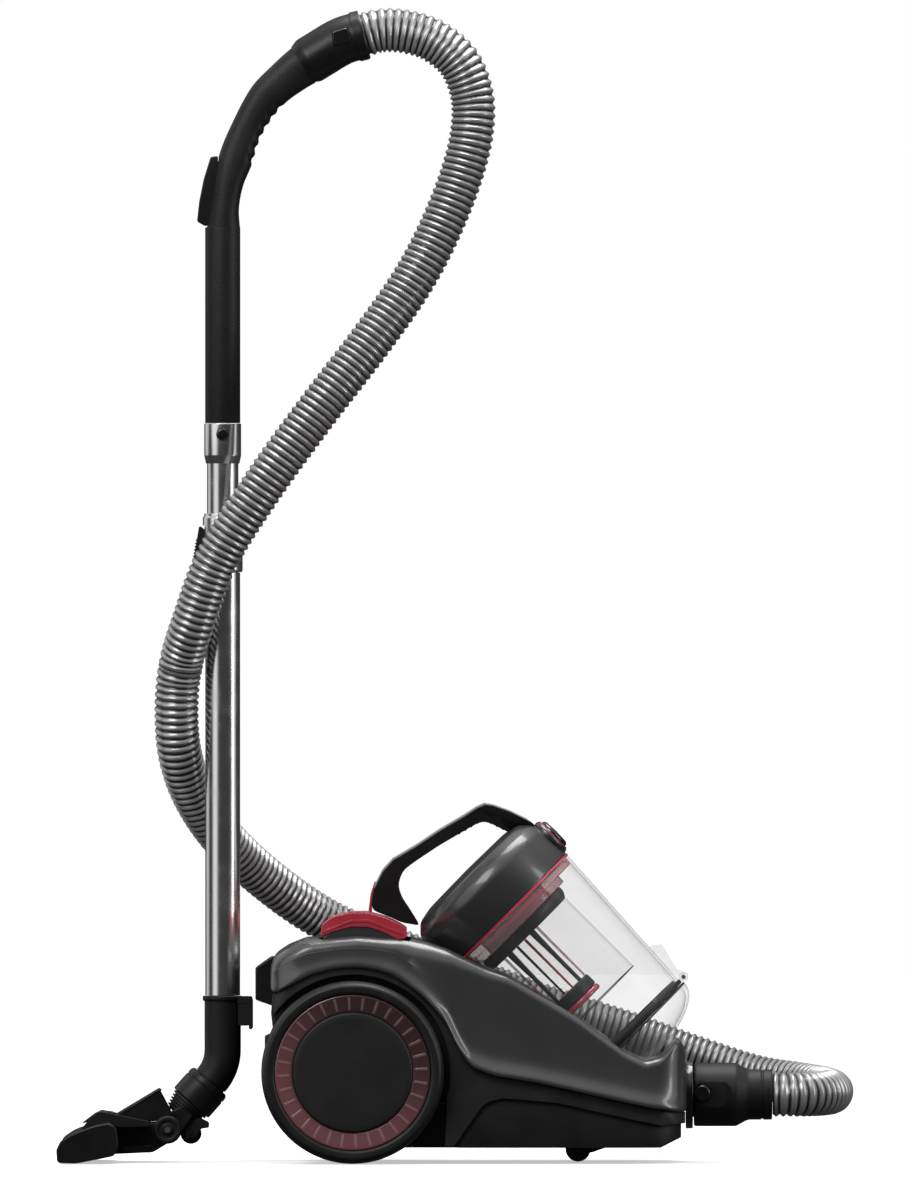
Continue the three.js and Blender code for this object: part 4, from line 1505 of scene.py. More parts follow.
@dataclass
class DustCup:
    """The cyclone cup: clear jar with a domed lid, filter cage, dark head, carry handle and button."""

    hinge: Flat = mid_of("lid_pin")
    head_radius: float = 82.5
    head_height: float = 58.0
    button: Vec = (138.0, 0.0, 326.5)
    button_axis: Vec = (math.sqrt(0.5), 0.0, math.sqrt(0.5))
    button_radius: float = 16.5
    cage_offset: float = 13.0
    posts: int = 4

    def turned(
        self, name: str, profile: list[Flat], soft: float = 0.8, offset: float = 0.0, steps: int = 128,
    ) -> bpy.types.Object:
        """A piece turned about the cup's axis.

        Args:
            name: its name.
            profile: radius and distance, from point to point.
            soft: the corners' radius, or 0 for sharp ones.
            offset: how far the axis is moved down.
            steps: how many faces go round.

        Returns:
            The closed piece.
        """
        return Bench.turned(
            name, rounded(profile, soft) if soft else profile, CUP.at(0, -offset), CUP.axis, steps,
        )

    @staticmethod
    def dome_line(radius: float, height: float, steps: int = 14) -> list[Flat]:
        """A quarter oval from the lid's edge to the cup's axis.

        Args:
            radius: its reach from the axis.
            height: how far it bulges.
            steps: how many straight pieces it has.

        Returns:
            Radius and distance along the axis of each point.
        """
        turns = [k / steps * math.pi / 2 for k in range(steps + 1)]
        line = [(radius * math.cos(a), CUP.length + 0.5 + height * math.sin(a)) for a in turns]
        return [*line[:-1], (0.0, line[-1][1])]

    def jar(self) -> None:
        """The clear jar with its hinge fins, and the rim bands."""
        wall, length = CUP.wall, CUP.length
        jar = self.turned("jar", [
            (CUP.top - wall, 0.3), (CUP.top, 0.3), (CUP.rim, length - 4), (CUP.rim - wall, length - 4),
            (CUP.top - wall, 0.3),
        ], 0.6)
        x, z = self.hinge
        fin = loop_rounded(
            [
                CUP.flat(122, 74.2), CUP.flat(129, 86), (x - 6, z + 6.4), (x + 4.6, z + 4.6),
                (x + 4.6, z - 3), CUP.flat(168, 72.6),
            ],
            2.5,
        )
        fins = [Bench.plate("fin", fin, *sorted((s.value * 9, s.value * 12)), 0.7) for s in Side]
        jar = Bench.merged("jar_visual", jar, *fins)
        dress(jar, GLASS, "cup", "clear_plastic", "dust_cup")
        gasket = self.turned(
            "gasket",
            [
                (63.6, length - 12), (68.3, length - 12), (68.3, length - 4), (63.6, length - 4),
                (63.6, length - 12),
            ],
            1,
        )
        dress(gasket, SEAL, "cup", "rubber", "rim_gasket")
        band = self.turned(
            "rim_band",
            [
                (CUP.rim + 0.6, length - 8.6), (CUP.rim + 1.4, length - 8.6), (CUP.rim + 1.2, length - 4.6),
                (CUP.rim + 0.4, length - 4.6), (CUP.rim + 0.6, length - 8.6),
            ],
            0.2,
        )
        dress(band, SEAL, "cup", "rubber")
        line = self.turned(
            "seam_line",
            [
                (CUP.top - 2.5, -2.2), (CUP.top + 0.9, -2.2), (CUP.top + 0.9, 0.2), (CUP.top - 2.5, 0.2),
                (CUP.top - 2.5, -2.2),
            ],
            0.4,
        )
        dress(line, RED, "cup", "red_plastic")
        carry_over("lid_pin", STEEL)

    def lid(self) -> None:
        """The clear domed lid with its hinge knuckle."""
        rim, length, wall = CUP.length - 3.5, CUP.length, CUP.wall
        outer = self.dome_line(CUP.rim + 2, CUP.dome)
        inner = self.dome_line(CUP.rim - wall, CUP.dome - wall)
        profile = [*reversed(outer), (CUP.rim + 2, rim), (CUP.rim - wall, rim), *inner]
        dome = self.turned("dome", profile, 0)
        x, z = self.hinge
        knuckle = loop_rounded(
            [
                CUP.flat(length - 3, 71), (x - 4, z + 1), (x, z + 4.2), (x + 4.2, z),
                CUP.flat(length + 5, 71),
            ],
            1,
        )
        barrel = Bench.merged(
            "lid_visual", dome, Bench.plate("knuckle", knuckle, -8.6, 8.6, 0.6),
            rod("barrel", 4.2, -8.6, 8.6, (x, 0, z), (0, 1, 0)),
        )
        dress(barrel, GLASS, "lid", "clear_plastic", "cup_lid")
        ring = self.turned(
            "lid_band",
            [
                (CUP.rim + 1.9, rim + 0.2), (CUP.rim + 2.6, rim + 0.2), (CUP.rim + 2.6, rim + 2),
                (CUP.rim + 1.9, rim + 2), (CUP.rim + 1.9, rim + 0.2),
            ],
            0.3,
        )
        dress(ring, SKIRT, "lid", "black_plastic")

    def filter(self) -> None:
        """Red flange, black cage with tapered posts, mesh and the clear inner sleeve."""
        sleeve = self.turned("sleeve", [(50.5, 29.4), (50.5, 125)], 0)
        dress(sleeve, GLASS, "cup", "clear_plastic", "inner_sleeve")
        rim = self.turned(
            "sleeve_rim", [(49.6, 124.2), (50.9, 124.2), (50.9, 125.2), (49.6, 125.2), (49.6, 124.2)], 0.2,
        )
        dress(rim, SKIRT, "cup", "black_plastic")
        flange = self.turned(
            "red_flange", [(42, 1), (78.5, 1), (78.5, 8), (61, 8), (61, 16), (42, 16), (42, 1)], 1.4,
        )
        dress(flange, RED_GLASS, "cup", "red_clear", "filter_flange")
        parts = [
            self.turned(
                "cage_flange", [(20, 16.3), (54, 16.3), (54, 22), (50, 29), (20, 29), (20, 16.3)], 1.5,
            )
        ]
        parts.append(
            self.turned(
                "cage_cap", [(0, 97), (24, 97), (25, 99), (25, 109), (23, 110.2), (0, 110.2)], 1.2,
                self.cage_offset,
            )
        )
        for k in range(self.posts):
            angle = (k + 0.5) * 2 * math.pi / self.posts
            x, _, z = CUP.at(0, -self.cage_offset + 22 * math.cos(angle))
            start = (x, 22 * math.sin(angle), z)
            parts.append(
                Bench.turned(
                    "post", rounded([(0, 28), (3.4, 28), (2.2, 62), (2.0, 98), (0, 98)], 2), start,
                    CUP.axis, 20,
                )
            )
        cage = Bench.merged("cage_visual", *parts)
        dress(cage, BLACK, "cup", "black_plastic", "filter_cage")
        cap = self.turned(
            "cage_ring", [(0, 110.4), (24.4, 110.4), (25.6, 112), (25.6, 115), (24, 116.2), (0, 116.2)],
            1.0, self.cage_offset,
        )
        dress(cap, RED, "cup", "red_plastic")
        mesh = self.turned("mesh_tube", [(18, 29.4), (18, 96.6)], 0, self.cage_offset)
        dress(mesh, MESH, "cup", "foam", "filter_mesh")
        for k in range(self.posts):
            angle = (k + 0.15) * 2 * math.pi / self.posts
            x, _, z = CUP.at(0, -self.cage_offset + 23 * math.cos(angle))
            strut = Bench.turned(
                f"red_strut_{k}", [(0, 29.2), (1.5, 29.2), (1.1, 96.8), (0, 96.8)],
                (x, 23 * math.sin(angle), z), CUP.axis, 16,
            )
            dress(strut, RED_GLASS, "cup", "red_clear")

    def head(self) -> None:
        """The dark head with its chamfered top, the boss and the release button."""
        r, h = self.head_radius, self.head_height
        shell = self.turned("head", [
            (0, -h - 3), (r - 30, -h - 2), (r - 13, -h + 1.5), (r - 3.4, -h + 11), (r, -h + 20), (r, -2.4),
            (r - 3, -2.4),
            (r - 3, -h + 16), (r - 14, -h + 6), (0, -h + 1),
        ], 3.5, steps=160)
        boss = Bench.turned("boss", rounded([
            (0, -30), (self.button_radius + 4, -30), (self.button_radius + 4, -2),
            (self.button_radius + 2.5, 0),
            (self.button_radius + 0.7, 0), (self.button_radius + 0.7, -9), (0, -9),
        ], 1.2), self.button, self.button_axis, 96)
        room = self.turned(
            "head_room", [(0, -h + 1), (r - 14, -h + 6), (r - 3, -h + 16), (r - 3, 60), (0, 60)], 0,
        )
        Bench.cut(boss, room)
        well = rod("button_well", self.button_radius + 0.6, -9.2, 12, self.button, self.button_axis, 96)
        Bench.cut(shell, well)
        head = Bench.merged("head_visual", shell, boss)
        dress(head, HEAD_BODY, "cup", "housing", "cyclone_head")
        button = Bench.turned("button", rounded([
            (0, -5), (self.button_radius, -5), (self.button_radius, 2.4), (self.button_radius - 2.4, 4.6),
            (0, 5.2),
        ], 1.6), self.button, self.button_axis, 96)
        dress(button, GLOSSY, "release", "black_plastic", "release_button")
        trim = Bench.turned("button_line", rounded([
            (self.button_radius + 0.8, -1), (self.button_radius + 2.2, -1), (self.button_radius + 2.2, 0.7),
            (self.button_radius + 0.8, 0.7), (self.button_radius + 0.8, -1),
        ], 0.3), self.button, self.button_axis, 96)
        dress(trim, RED, "cup", "red_plastic")

    def handle(self) -> None:
        """The carry handle: black arm, a pale strip on top as painted highlight, ridges under the grip, red
        trim at its foot.
        """
        outer = [
            (-13, 239), (-26, 245), (-43, 251.5), (-43, 263), (-41, 275), (-32, 292), (-22, 303), (0, 316),
            (24, 332), (48, 346), (62, 355), (69, 358), (77, 357), (94, 351), (109, 344), (122, 336),
        ]
        inner = [
            (108, 322), (88, 332), (76, 338), (69, 340), (62, 338), (48, 330), (24, 316), (0, 300),
            (-12, 291), (-17, 277), (-13.5, 265), (-4, 251), (5, 236),
        ]
        arm = Bench.plate("arm", loop_rounded(outer + inner, 6, 3), -15, 15, 4.5, 4)
        tools = [
            self.turned(
                "clear_of_head",
                [(0, -61.2), (52.5, -60.2), (69.6, -56.6), (79.3, -46.8), (82.8, -38), (82.8, 90), (0, 90)],
                0,
            ),
            rod("clear_of_button", 20.9, -40, 40, self.button, self.button_axis, 64),
        ]
        Bench.cut(arm, *tools)
        under = [(40, 326.2), (62, 339), (69, 341), (76, 339), (100, 327)]
        ridges = [
            rod("ridge", 1.5, -9, 9, (x, 0, polyline(under, x)), ACROSS, 16)
            for x in (44, 50, 56, 62, 69, 76, 82, 88)
        ]
        arm = Bench.merged("handle_visual", arm, *ridges)
        dress(arm, BLACK, "cup", "black_plastic", "carry_handle")
        # painted highlight: a thin pale grey strip along the arm's top edge stands for the light caught there
        highlight_line = [
            (-41.4, 275), (-32.6, 292.3), (-22.4, 303.6), (0, 316.7), (24, 332.7), (48, 346.7), (62, 355.7),
            (69, 358.7), (77, 357.7), (94, 351.7), (112, 343),
        ]
        below = [(x + 1.0, z - 2.6) for x, z in reversed(highlight_line)]
        highlight_strip = Bench.plate("handle_highlight", highlight_line + below, -15.3, 15.3, 1.2)
        dress(highlight_strip, LIP, "cup", "housing")
        trim = Bench.plate(
            "handle_trim",
            [(-46.6, 250), (-43, 249.6), (-42.6, 263), (-38.6, 279), (-40.4, 280.5), (-44.4, 268)], -14, 14,
            0.9,
        )
        dress(trim, RED, "cup", "red_plastic")

    def build(self) -> None:
        """Builds and dresses the whole cup."""
        self.jar()
        self.lid()
        self.filter()
        self.head()
        self.handle()


# ---------------------------------------------------------------- hose


def pipe_along(
    name: str, route: Route, outer: Callable[[float], float], inner: float, stations: np.ndarray,
    sides: int,
) -> bpy.types.Object:
    """A closed pipe along a route: its outside radius depends on the distance, its bore is even.

    Args:
        name: the piece's name.
        route: the middle line.
        outer: the outside radius at a distance along it.
        inner: the bore's radius.
        stations: the distances that get a ring.
        sides: how many points go round.

    Returns:
        The piece.
    """
    points = route.even(stations)
    circle = circles_along(points, sides)
    radius = np.array([outer(float(s)) for s in stations])[:, None, None]
    outside = points[:, None, :] + radius * circle
    inside = (points[:, None, :] + inner * circle)[::-1]
    rings = np.concatenate([outside, inside, outside[:1]])
    return Bench.skin(name, rings, capped=False)


@dataclass
class Hose:
    """The ribbed suction hose: one stretch from the canister to the wand's waist, one on to the handle."""

    lower: Route = Route((
        (357.6, 0, 67), (372, 0, 67), (391, 7, 67), (408, 27, 67.5), (417, 58, 69), (408, 94, 72),
        (382, 122, 76),
        (345, 140, 82), (285, 152, 101), (212, 157, 127), (125, 157, 155), (72, 157, 175), (-8, 156, 206),
        (-88, 150, 239),
        (-150, 118, 282), (-196, 78, 327), (-224, 40, 372), (-236, 14, 412), (-238.5, 0, 452),
        (-236.6, -6.3, 482.8),
        (-234.5, -10, 494),
    ))
    upper: Route = Route((
        (-234.4, -10.15, 494.45), (-232.4, -13.7, 505.2), (-222, -30, 538), (-199, -46, 600),
        (-154, -54, 672),
        (-100, -48, 747), (-42, -34, 823), (-2, -22, 881), (24, -14, 930), (46, -7, 985), (57, -3, 1030),
        (57, 0, 1066),
        (44, 0, 1099), (18, 0, 1121), (-10, 0, 1130), (-33.5, 0, 1131), (-52, 0, 1126.5),
    ))
    radius: float = 22.3
    depth: float = 2.5
    pitch: float = 7.1
    per_rib: int = 7
    sides: int = 28

    def profile(self, s: float) -> float:
        """The height of the ribs from 0 to 1 at a distance s along a stretch."""
        wave = 0.5 - 0.5 * math.cos(2 * math.pi * s / self.pitch)
        return wave ** 0.85

    def stretch(
        self, name: str, route: Route, first: Vec, last: Vec, bodies: tuple[str, str], node: str,
    ) -> None:
        """One stretch: the ribbed tube, with the stored rib height that masks the painted shade in its
        grooves.

        Args:
            name: its name.
            route: the middle line.
            first: not used.
            last: not used.
            bodies: not used.
            node: the CAD node.
        """
        length = route.length()
        count = round(length / self.pitch) * self.per_rib
        stations = np.linspace(0, length, count + 1)
        height = np.array([self.profile(float(s)) for s in stations])
        points = route.even(stations)
        circle = circles_along(points, self.sides)
        radius = (self.radius - self.depth * (1 - height))[:, None, None]
        tube = Bench.skin(name, points[:, None, :] + radius * circle)
        # the rib height stored here masks the painted shade in the hose's grooves
        store = tube.data.attributes.new("rib", "FLOAT", "POINT")
        sample = route.even(np.linspace(0, length, 1500))
        places = np.empty(len(tube.data.vertices) * 3)
        tube.data.vertices.foreach_get("co", places)
        places = places.reshape(-1, 3) / MM
        values = np.empty(len(places), np.float32)
        for k in range(0, len(places), 2000):
            block = places[k:k + 2000]
            apart = np.linalg.norm(block[:, None, :] - sample[None, :, :], axis=2).min(axis=1)
            values[k:k + 2000] = 1 - (self.radius - apart) / self.depth
        store.data.foreach_set("value", values)
        tube.data.materials.clear()
        tube.data.materials.append(HOSE_FINISH.material())
        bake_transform(tube)
        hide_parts(node)
        path = [
            tuple(float(c) * MM for c in p) for p in route.even(np.linspace(0, length, round(length / 4)))
        ]
        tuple(path[0])
        LOG.info("%s is %.0f mm long", name, length)

    def build(self) -> None:
        """Builds both stretches."""
        self.stretch(
            "hose_lower_visual", self.lower, (-0.088, 0.150, 0.239), (-0.231, 0, 0.493),
            ("canister", "lower_wand"), "hose_lower",
        )
        self.stretch(
            "hose_upper_visual", self.upper, (-0.2, 0, 0.56), (-0.2, 0, 1.0), ("lower_wand", "upper_wand"),
            "hose_upper",
        )


# the first colour is painted shade for the grooves, the second is the ribs' plastic
HOSE_FINISH = Ribbed("hose", (0.03, 0.03, 0.031), (0.42, 0.42, 0.425))


@dataclass
class Connector:
    """The swivelling connector that plugs the hose into the canister, with its two latch buttons."""

    face: float = low_high("inlet_ring", 0)[0]
    end: float = low_high("hose_connector", 0)[1]
    big: float = half_width("hose_connector", 1)
    latch: Flat = mid_of("latch_button_near")

    def build(self) -> None:
        """Builds and dresses the connector."""
        start = (0, 0, INLET_Z)
        body = Bench.turned("connector", rounded([
            (17.5, self.face + 1), (22, self.face + 1), (22, 278.8), (self.big - 0.8, 278.8),
            (self.big, 281), (self.big, 321), (26, 331.5),
            (25.2, 334), (25.2, 346), (24.2, 346.6), (24.2, 348), (25.2, 348.6), (25.2, self.end),
            (17.5, self.end), (17.5, self.face + 1),
        ], 1.6), start, (1, 0, 0), 128)
        for side in Side:
            oval = [
                (297.5 + 19 * math.cos(a), 69 + 15 * math.sin(a))
                for a in np.linspace(0, 2 * math.pi, 48, endpoint=False)
            ]
            Bench.cut(body, Bench.plate("oval", oval, *sorted((side.value * 29.0, side.value * 45))))
            Bench.cut(
                body,
                rod(
                    "latch_seat", 8.6, *sorted((side.value * 26.5, side.value * 40)),
                    (self.latch[0], 0, self.latch[1]), (0, 1, 0), 48,
                ),
            )
        Bench.tidy(body, 32)
        dress(body, GRAINED, "connector", "black_plastic", "hose_connector")
        for side in Side:
            line = rounded([(0, 29), (8, 29), (8, 32), (6.6, 33), (3, 32.6), (0, 32.4)], 0.8)
            place = (self.latch[0], 0, self.latch[1])
            cap = Bench.turned(f"latch_{side.label}_visual", line, place, (0, side.value, 0), 64)
            dress(cap, GLOSSY, f"latch_{side.label}", "black_plastic", f"latch_button_{side.label}")


# ---------------------------------------------------------------- wand


@dataclass
class Wand:
    """The handle, the two telescoping tubes with their clasp, and the elbow."""

    x: float = mid_of("lower_tube")[0]
    grip: float = half_width("handle_grip", 1)
    inner: float = half_width("inner_tube", 1)
    lower: float = half_width("lower_tube", 1)
    clasp: float = half_width("clasp_sleeve", 1)
    half: float = 17.0
    outer_line: list[Flat] = field(default_factory=lambda: [
        (-119.6, 1115.6), (-124, 1113), (-145, 1094), (-163, 1075), (-184, 1036), (-196, 1006), (-204, 961),
        (-209.9, 931),
    ])
    inner_line: list[Flat] = field(default_factory=lambda: [
        (-99.5, 1078.8), (-103.5, 1076.5), (-114, 1070), (-131, 1057), (-153, 1026), (-163, 997),
        (-172, 975), (-176, 952), (-174.7, 931),
    ])

    def at(self, z: float = 0.0) -> Vec:
        """The wand's axis at that height."""
        return (self.x, 0.0, z)

    def tube(
        self, name: str, profile: list[Flat], soft: float, finish: Finish, body: str, slot: str,
        *nodes: str,
    ) -> bpy.types.Object:
        """A piece turned about the wand's axis, dressed."""
        piece = Bench.turned(name, rounded(profile, soft) if soft else profile, self.at(), (0, 0, 1), 96)
        return dress(piece, finish, body, slot, *nodes)

    def tubes(self) -> None:
        """Chrome tubes, collar, clasp and their buttons."""
        inner, lower, clasp = self.inner, self.lower, self.clasp
        collar = Bench.turned("collar", rounded([
            (inner + 0.25, 698), (16.8, 698), (18.5, 706), (18.5, 738), (inner + 0.25, 738),
            (inner + 0.25, 698),
        ], 0.7), self.at(), (0, 0, 1), 96)
        tube = Bench.turned(
            "inner", [(14.6, 320), (inner, 320), (inner, 737.6), (14.6, 737.6), (14.6, 320)], self.at(),
            (0, 0, 1), 96,
        )
        for piece, node in ((collar, "wand_collar"), (tube, "inner_tube")):
            Bench.cut(piece, rod("snap_hole", 6.4, -30, 0, self.at(727), (0, 1, 0), 40))
            dress(Bench.tidy(piece, 30), CHROME, "upper_wand", "chrome_tube", node)
        snap = Bench.turned(
            "snap", rounded([(0, -20), (4.8, -19.6), (6, -18.8), (6, -16.2), (0, -16.2)], 0.6),
            self.at(727), (0, 1, 0), 48,
        )
        dress(snap, GLOSSY, "snap", "black_plastic", "snap_button")
        sleeve = Bench.turned("clasp", rounded([
            (inner + 0.6, 589.4), (clasp - 0.8, 589.4), (clasp, 591), (clasp, 643.6), (clasp - 1, 645.2),
            (18.6, 645.4), (18.6, 648),
            (inner + 0.6, 648), (inner + 0.6, 589.4),
        ], 0.6), self.at(), (0, 0, 1), 96)
        way = Bench.plate(
            "slide_way", [(-232, 592.5), (-208.5, 592.5), (-208.5, 636), (-232, 636)], -8.3, 8.3,
        )
        Bench.cut(sleeve, way)
        dress(Bench.tidy(sleeve, 30), CHROME, "lower_wand", "chrome_tube", "clasp_sleeve")
        slider = Bench.plate(
            "lock", loop_rounded([(-222, 599), (-209, 599), (-209, 631), (-214, 635), (-216, 635)], 1.5),
            -8, 8, 1.3,
        )
        ribs = [
            rod("rib", 0.9, -6.5, 6.5, (-221.7 + 0.165 * k * 3.2, 0, 602 + 3.2 * k), (0, 1, 0), 12)
            for k in range(7)
        ]
        lock = Bench.merged("lock_visual", slider, *ribs)
        dress(lock, BLACK, "wand_lock", "black_plastic", "lock_slider")
        self.tube(
            "lower_visual", [(16.35, 166.3), (lower, 166.3), (lower, 589), (16.35, 589), (16.35, 166.3)], 0,
            CHROME, "lower_wand", "chrome_tube", "lower_tube",
        )

    def handle(self) -> None:
        """The curved grip with finger ridges, the tube under it and the suction slider."""
        count = 70
        outer, inner = even_flat(self.outer_line, count), even_flat(self.inner_line, count)
        rings = []
        for k in range(count):
            (ox, oz), (ix, iz) = outer[k], inner[k]
            middle = np.array([(ox + ix) / 2, 0, (oz + iz) / 2])
            reach = np.array([ix - ox, 0, iz - oz]) / 2
            share = k / (count - 1)
            half = self.half - 2.2 * math.sin(
                math.pi * min(1.0, share * 1.2)
            ) ** 2 + (self.grip - self.half) * smoothstep(0.8, 1, share)
            power = 2.45 - 0.45 * smoothstep(0.7, 1.0, share)
            ridge = 2.2 * math.sin(math.pi * (share - 0.22) / 0.0666) ** 2 if 0.22 < share < 0.62 else 0.0
            loop = []
            for angle in np.linspace(0, 2 * math.pi, 40, endpoint=False):
                c, s = math.cos(angle), math.sin(angle)
                c_, s_ = math.copysign(abs(c) ** (2 / power), c), math.copysign(abs(s) ** (2 / power), s)
                grow = 1 - ridge * smoothstep(0.25, 0.7, c) / float(np.linalg.norm(reach))
                loop.append(middle + reach * c_ * grow + np.array([0, half * s_, 0]))
            rings.append(loop)
        grip = Bench.skin("grip", np.array(rings))
        passage = rod("passage", 13, 700, 925, self.at(), (0, 0, 1), 48)
        below = Bench.turned(
            "grip_tube", rounded([(0, 738.4), (self.grip, 738.4), (self.grip, 934), (0, 934)], 0.6),
            self.at(), (0, 0, 1), 96,
        )
        Bench.cut(below, passage)
        grip = Bench.merged("grip_visual", grip, below)
        slot = Bench.plate(
            "vent_slot", [(-232, 934.2), (-199.6, 934.2), (-196.4, 960), (-196.4, 1009), (-232, 1009)],
            -6.3, 6.3,
        )
        Bench.cut(grip, slot)
        Bench.tidy(grip, 38)
        dress(grip, GRIP, "upper_wand", "black_plastic", "handle_grip")
        vent = Bench.plate(
            "vent",
            loop_rounded(
                [
                    (-204.4, 1004.6), (-211.4, 982), (-215.8, 960), (-218, 940), (-209.5, 935),
                    (-200.4, 941), (-197, 962), (-197, 1005.5),
                ],
                2,
            ),
            -6, 6, 1.4,
        )
        dress(vent, BLACK, "suction_vent", "black_plastic", "suction_slider")

    def cuff(self) -> None:
        """The cuff that takes the hose, with its release button."""
        route = Route(((-113, 0, 1096.5), (-96, 0, 1107), (-72, 0, 1120.8), (-50.6, 0, 1126.9)))
        length = route.length()

        def outer(s: float) -> float:
            """Plain tube, then a groove and a thicker lip at the hose's end."""
            from_end = length - s
            if from_end < 10:
                return 25.2 - 1.0 * smoothstep(1.6, 0, from_end)
            if from_end < 11.2:
                return 24.2
            return 24.0 - 3.4 * (1 - min(1.0, s / 8))

        stations = np.unique(
            np.concatenate(
                [
                    np.linspace(0, length - 14, 24),
                    length - np.array([13, 12.1, 11.9, 11, 10.1, 9.9, 6, 3, 1.6, 1, 0.4, 0.2]),
                ]
            )
        )
        tube = pipe_along("cuff", route, outer, 16, stations, 64)
        outline = [(-81, 1115), (-66, 1118.5), (-63.5, 1125), (-69, 1133.5), (-83, 1129.5)]
        wide = [((x + 73) * 1.06 - 73, (z - 1124) * 1.06 + 1124) for x, z in outline]
        Bench.cut(tube, Bench.plate("button_room", loop_rounded(wide, 2), -30, -17.6))
        Bench.tidy(tube, 35)
        dress(tube, BLACK, "upper_wand", "black_plastic", "hose_cuff")
        button = Bench.plate("cuff_key", loop_rounded(outline, 2), -24.4, -19.6, 1.2)
        dress(button, GLOSSY, "cuff_release", "black_plastic", "cuff_button")

    def elbow(self) -> None:
        """The bent tube above the neck, with its rim and parking hook."""
        bend, path = 46.2, [(self.x, 0.0, 165.9), (self.x, 0.0, 150.0), (self.x, 0.0, 130.0)]
        turn = math.acos(-NECK.axis[2])
        for k in range(9):
            angle = k / 8 * turn
            path.append((self.x - bend * (1 - math.cos(angle)), 0.0, 111.8 - bend * math.sin(angle)))
        route = Route(tuple(path))
        tube = pipe_along("elbow_tube", route, lambda s: 18.2, 14.5, np.linspace(0, route.length(), 40), 64)
        rim = Bench.turned(
            "elbow_rim",
            rounded(
                [(16, 160.5), (19.2, 160.5), (20, 162), (20, 165), (19.2, 165.9), (16, 165.9), (16, 160.5)],
                0.7,
            ),
            self.at(), (0, 0, 1), 96,
        )
        hook = Bench.plate(
            "hook",
            loop_rounded(
                [
                    (-178, 165.4), (-163, 165.4), (-162, 161), (-162, 133), (-166, 132), (-166.5, 158),
                    (-178, 158),
                ],
                1.6,
            ),
            -13, 13, 1.5,
        )
        spigot = Bench.turned(
            "spigot", [(14.5, -1), (17, -1), (17, 12), (14.5, 12), (14.5, -1)], NECK.start, NECK.axis, 64,
        )
        webs = [
            Bench.plate(
                "web", loop_rounded([(-177, 162), (-163, 162), (-163, 138), (-167, 136), (-177, 136)], 1.5),
                *sorted((s.value * 9.4, s.value * 12.6)), 0.8,
            )
            for s in Side
        ]
        elbow = Bench.merged("elbow_visual", tube, rim, hook, spigot, *webs)
        dress(elbow, GRAINED, "lower_wand", "black_plastic", "elbow")

    def build(self) -> None:
        """Builds and dresses the whole wand."""
        self.tubes()
        self.handle()
        self.cuff()
        self.elbow()


GRIP = Moulded("grip", (0.008, 0.008, 0.0085), (0.013, 0.013, 0.0135), 0.5, 0.1, 1.8, 0.22, gloss=0.3)


def even_flat(points: list[Flat], count: int) -> list[Flat]:
    """Points at even steps along a soft line through flat points.

    Args:
        points: flat points in order.
        count: how many points.

    Returns:
        The points, as x and z.
    """
    route = Route(tuple((x, 0.0, z) for x, z in points))
    places = route.even(np.linspace(0, route.length(), count))
    return [(float(p[0]), float(p[2])) for p in places]


@dataclass(frozen=True)
class NeckFrame:
    """Where the floor head's neck starts and which way it points."""

    start: Vec = (-204.0, 0.0, 81.0)
    axis: Vec = (-0.6645, 0.0, -0.7473)
    pitch: Flat = mid_of("pitch_pin")


NECK = NeckFrame()


# ---------------------------------------------------------------- floor head


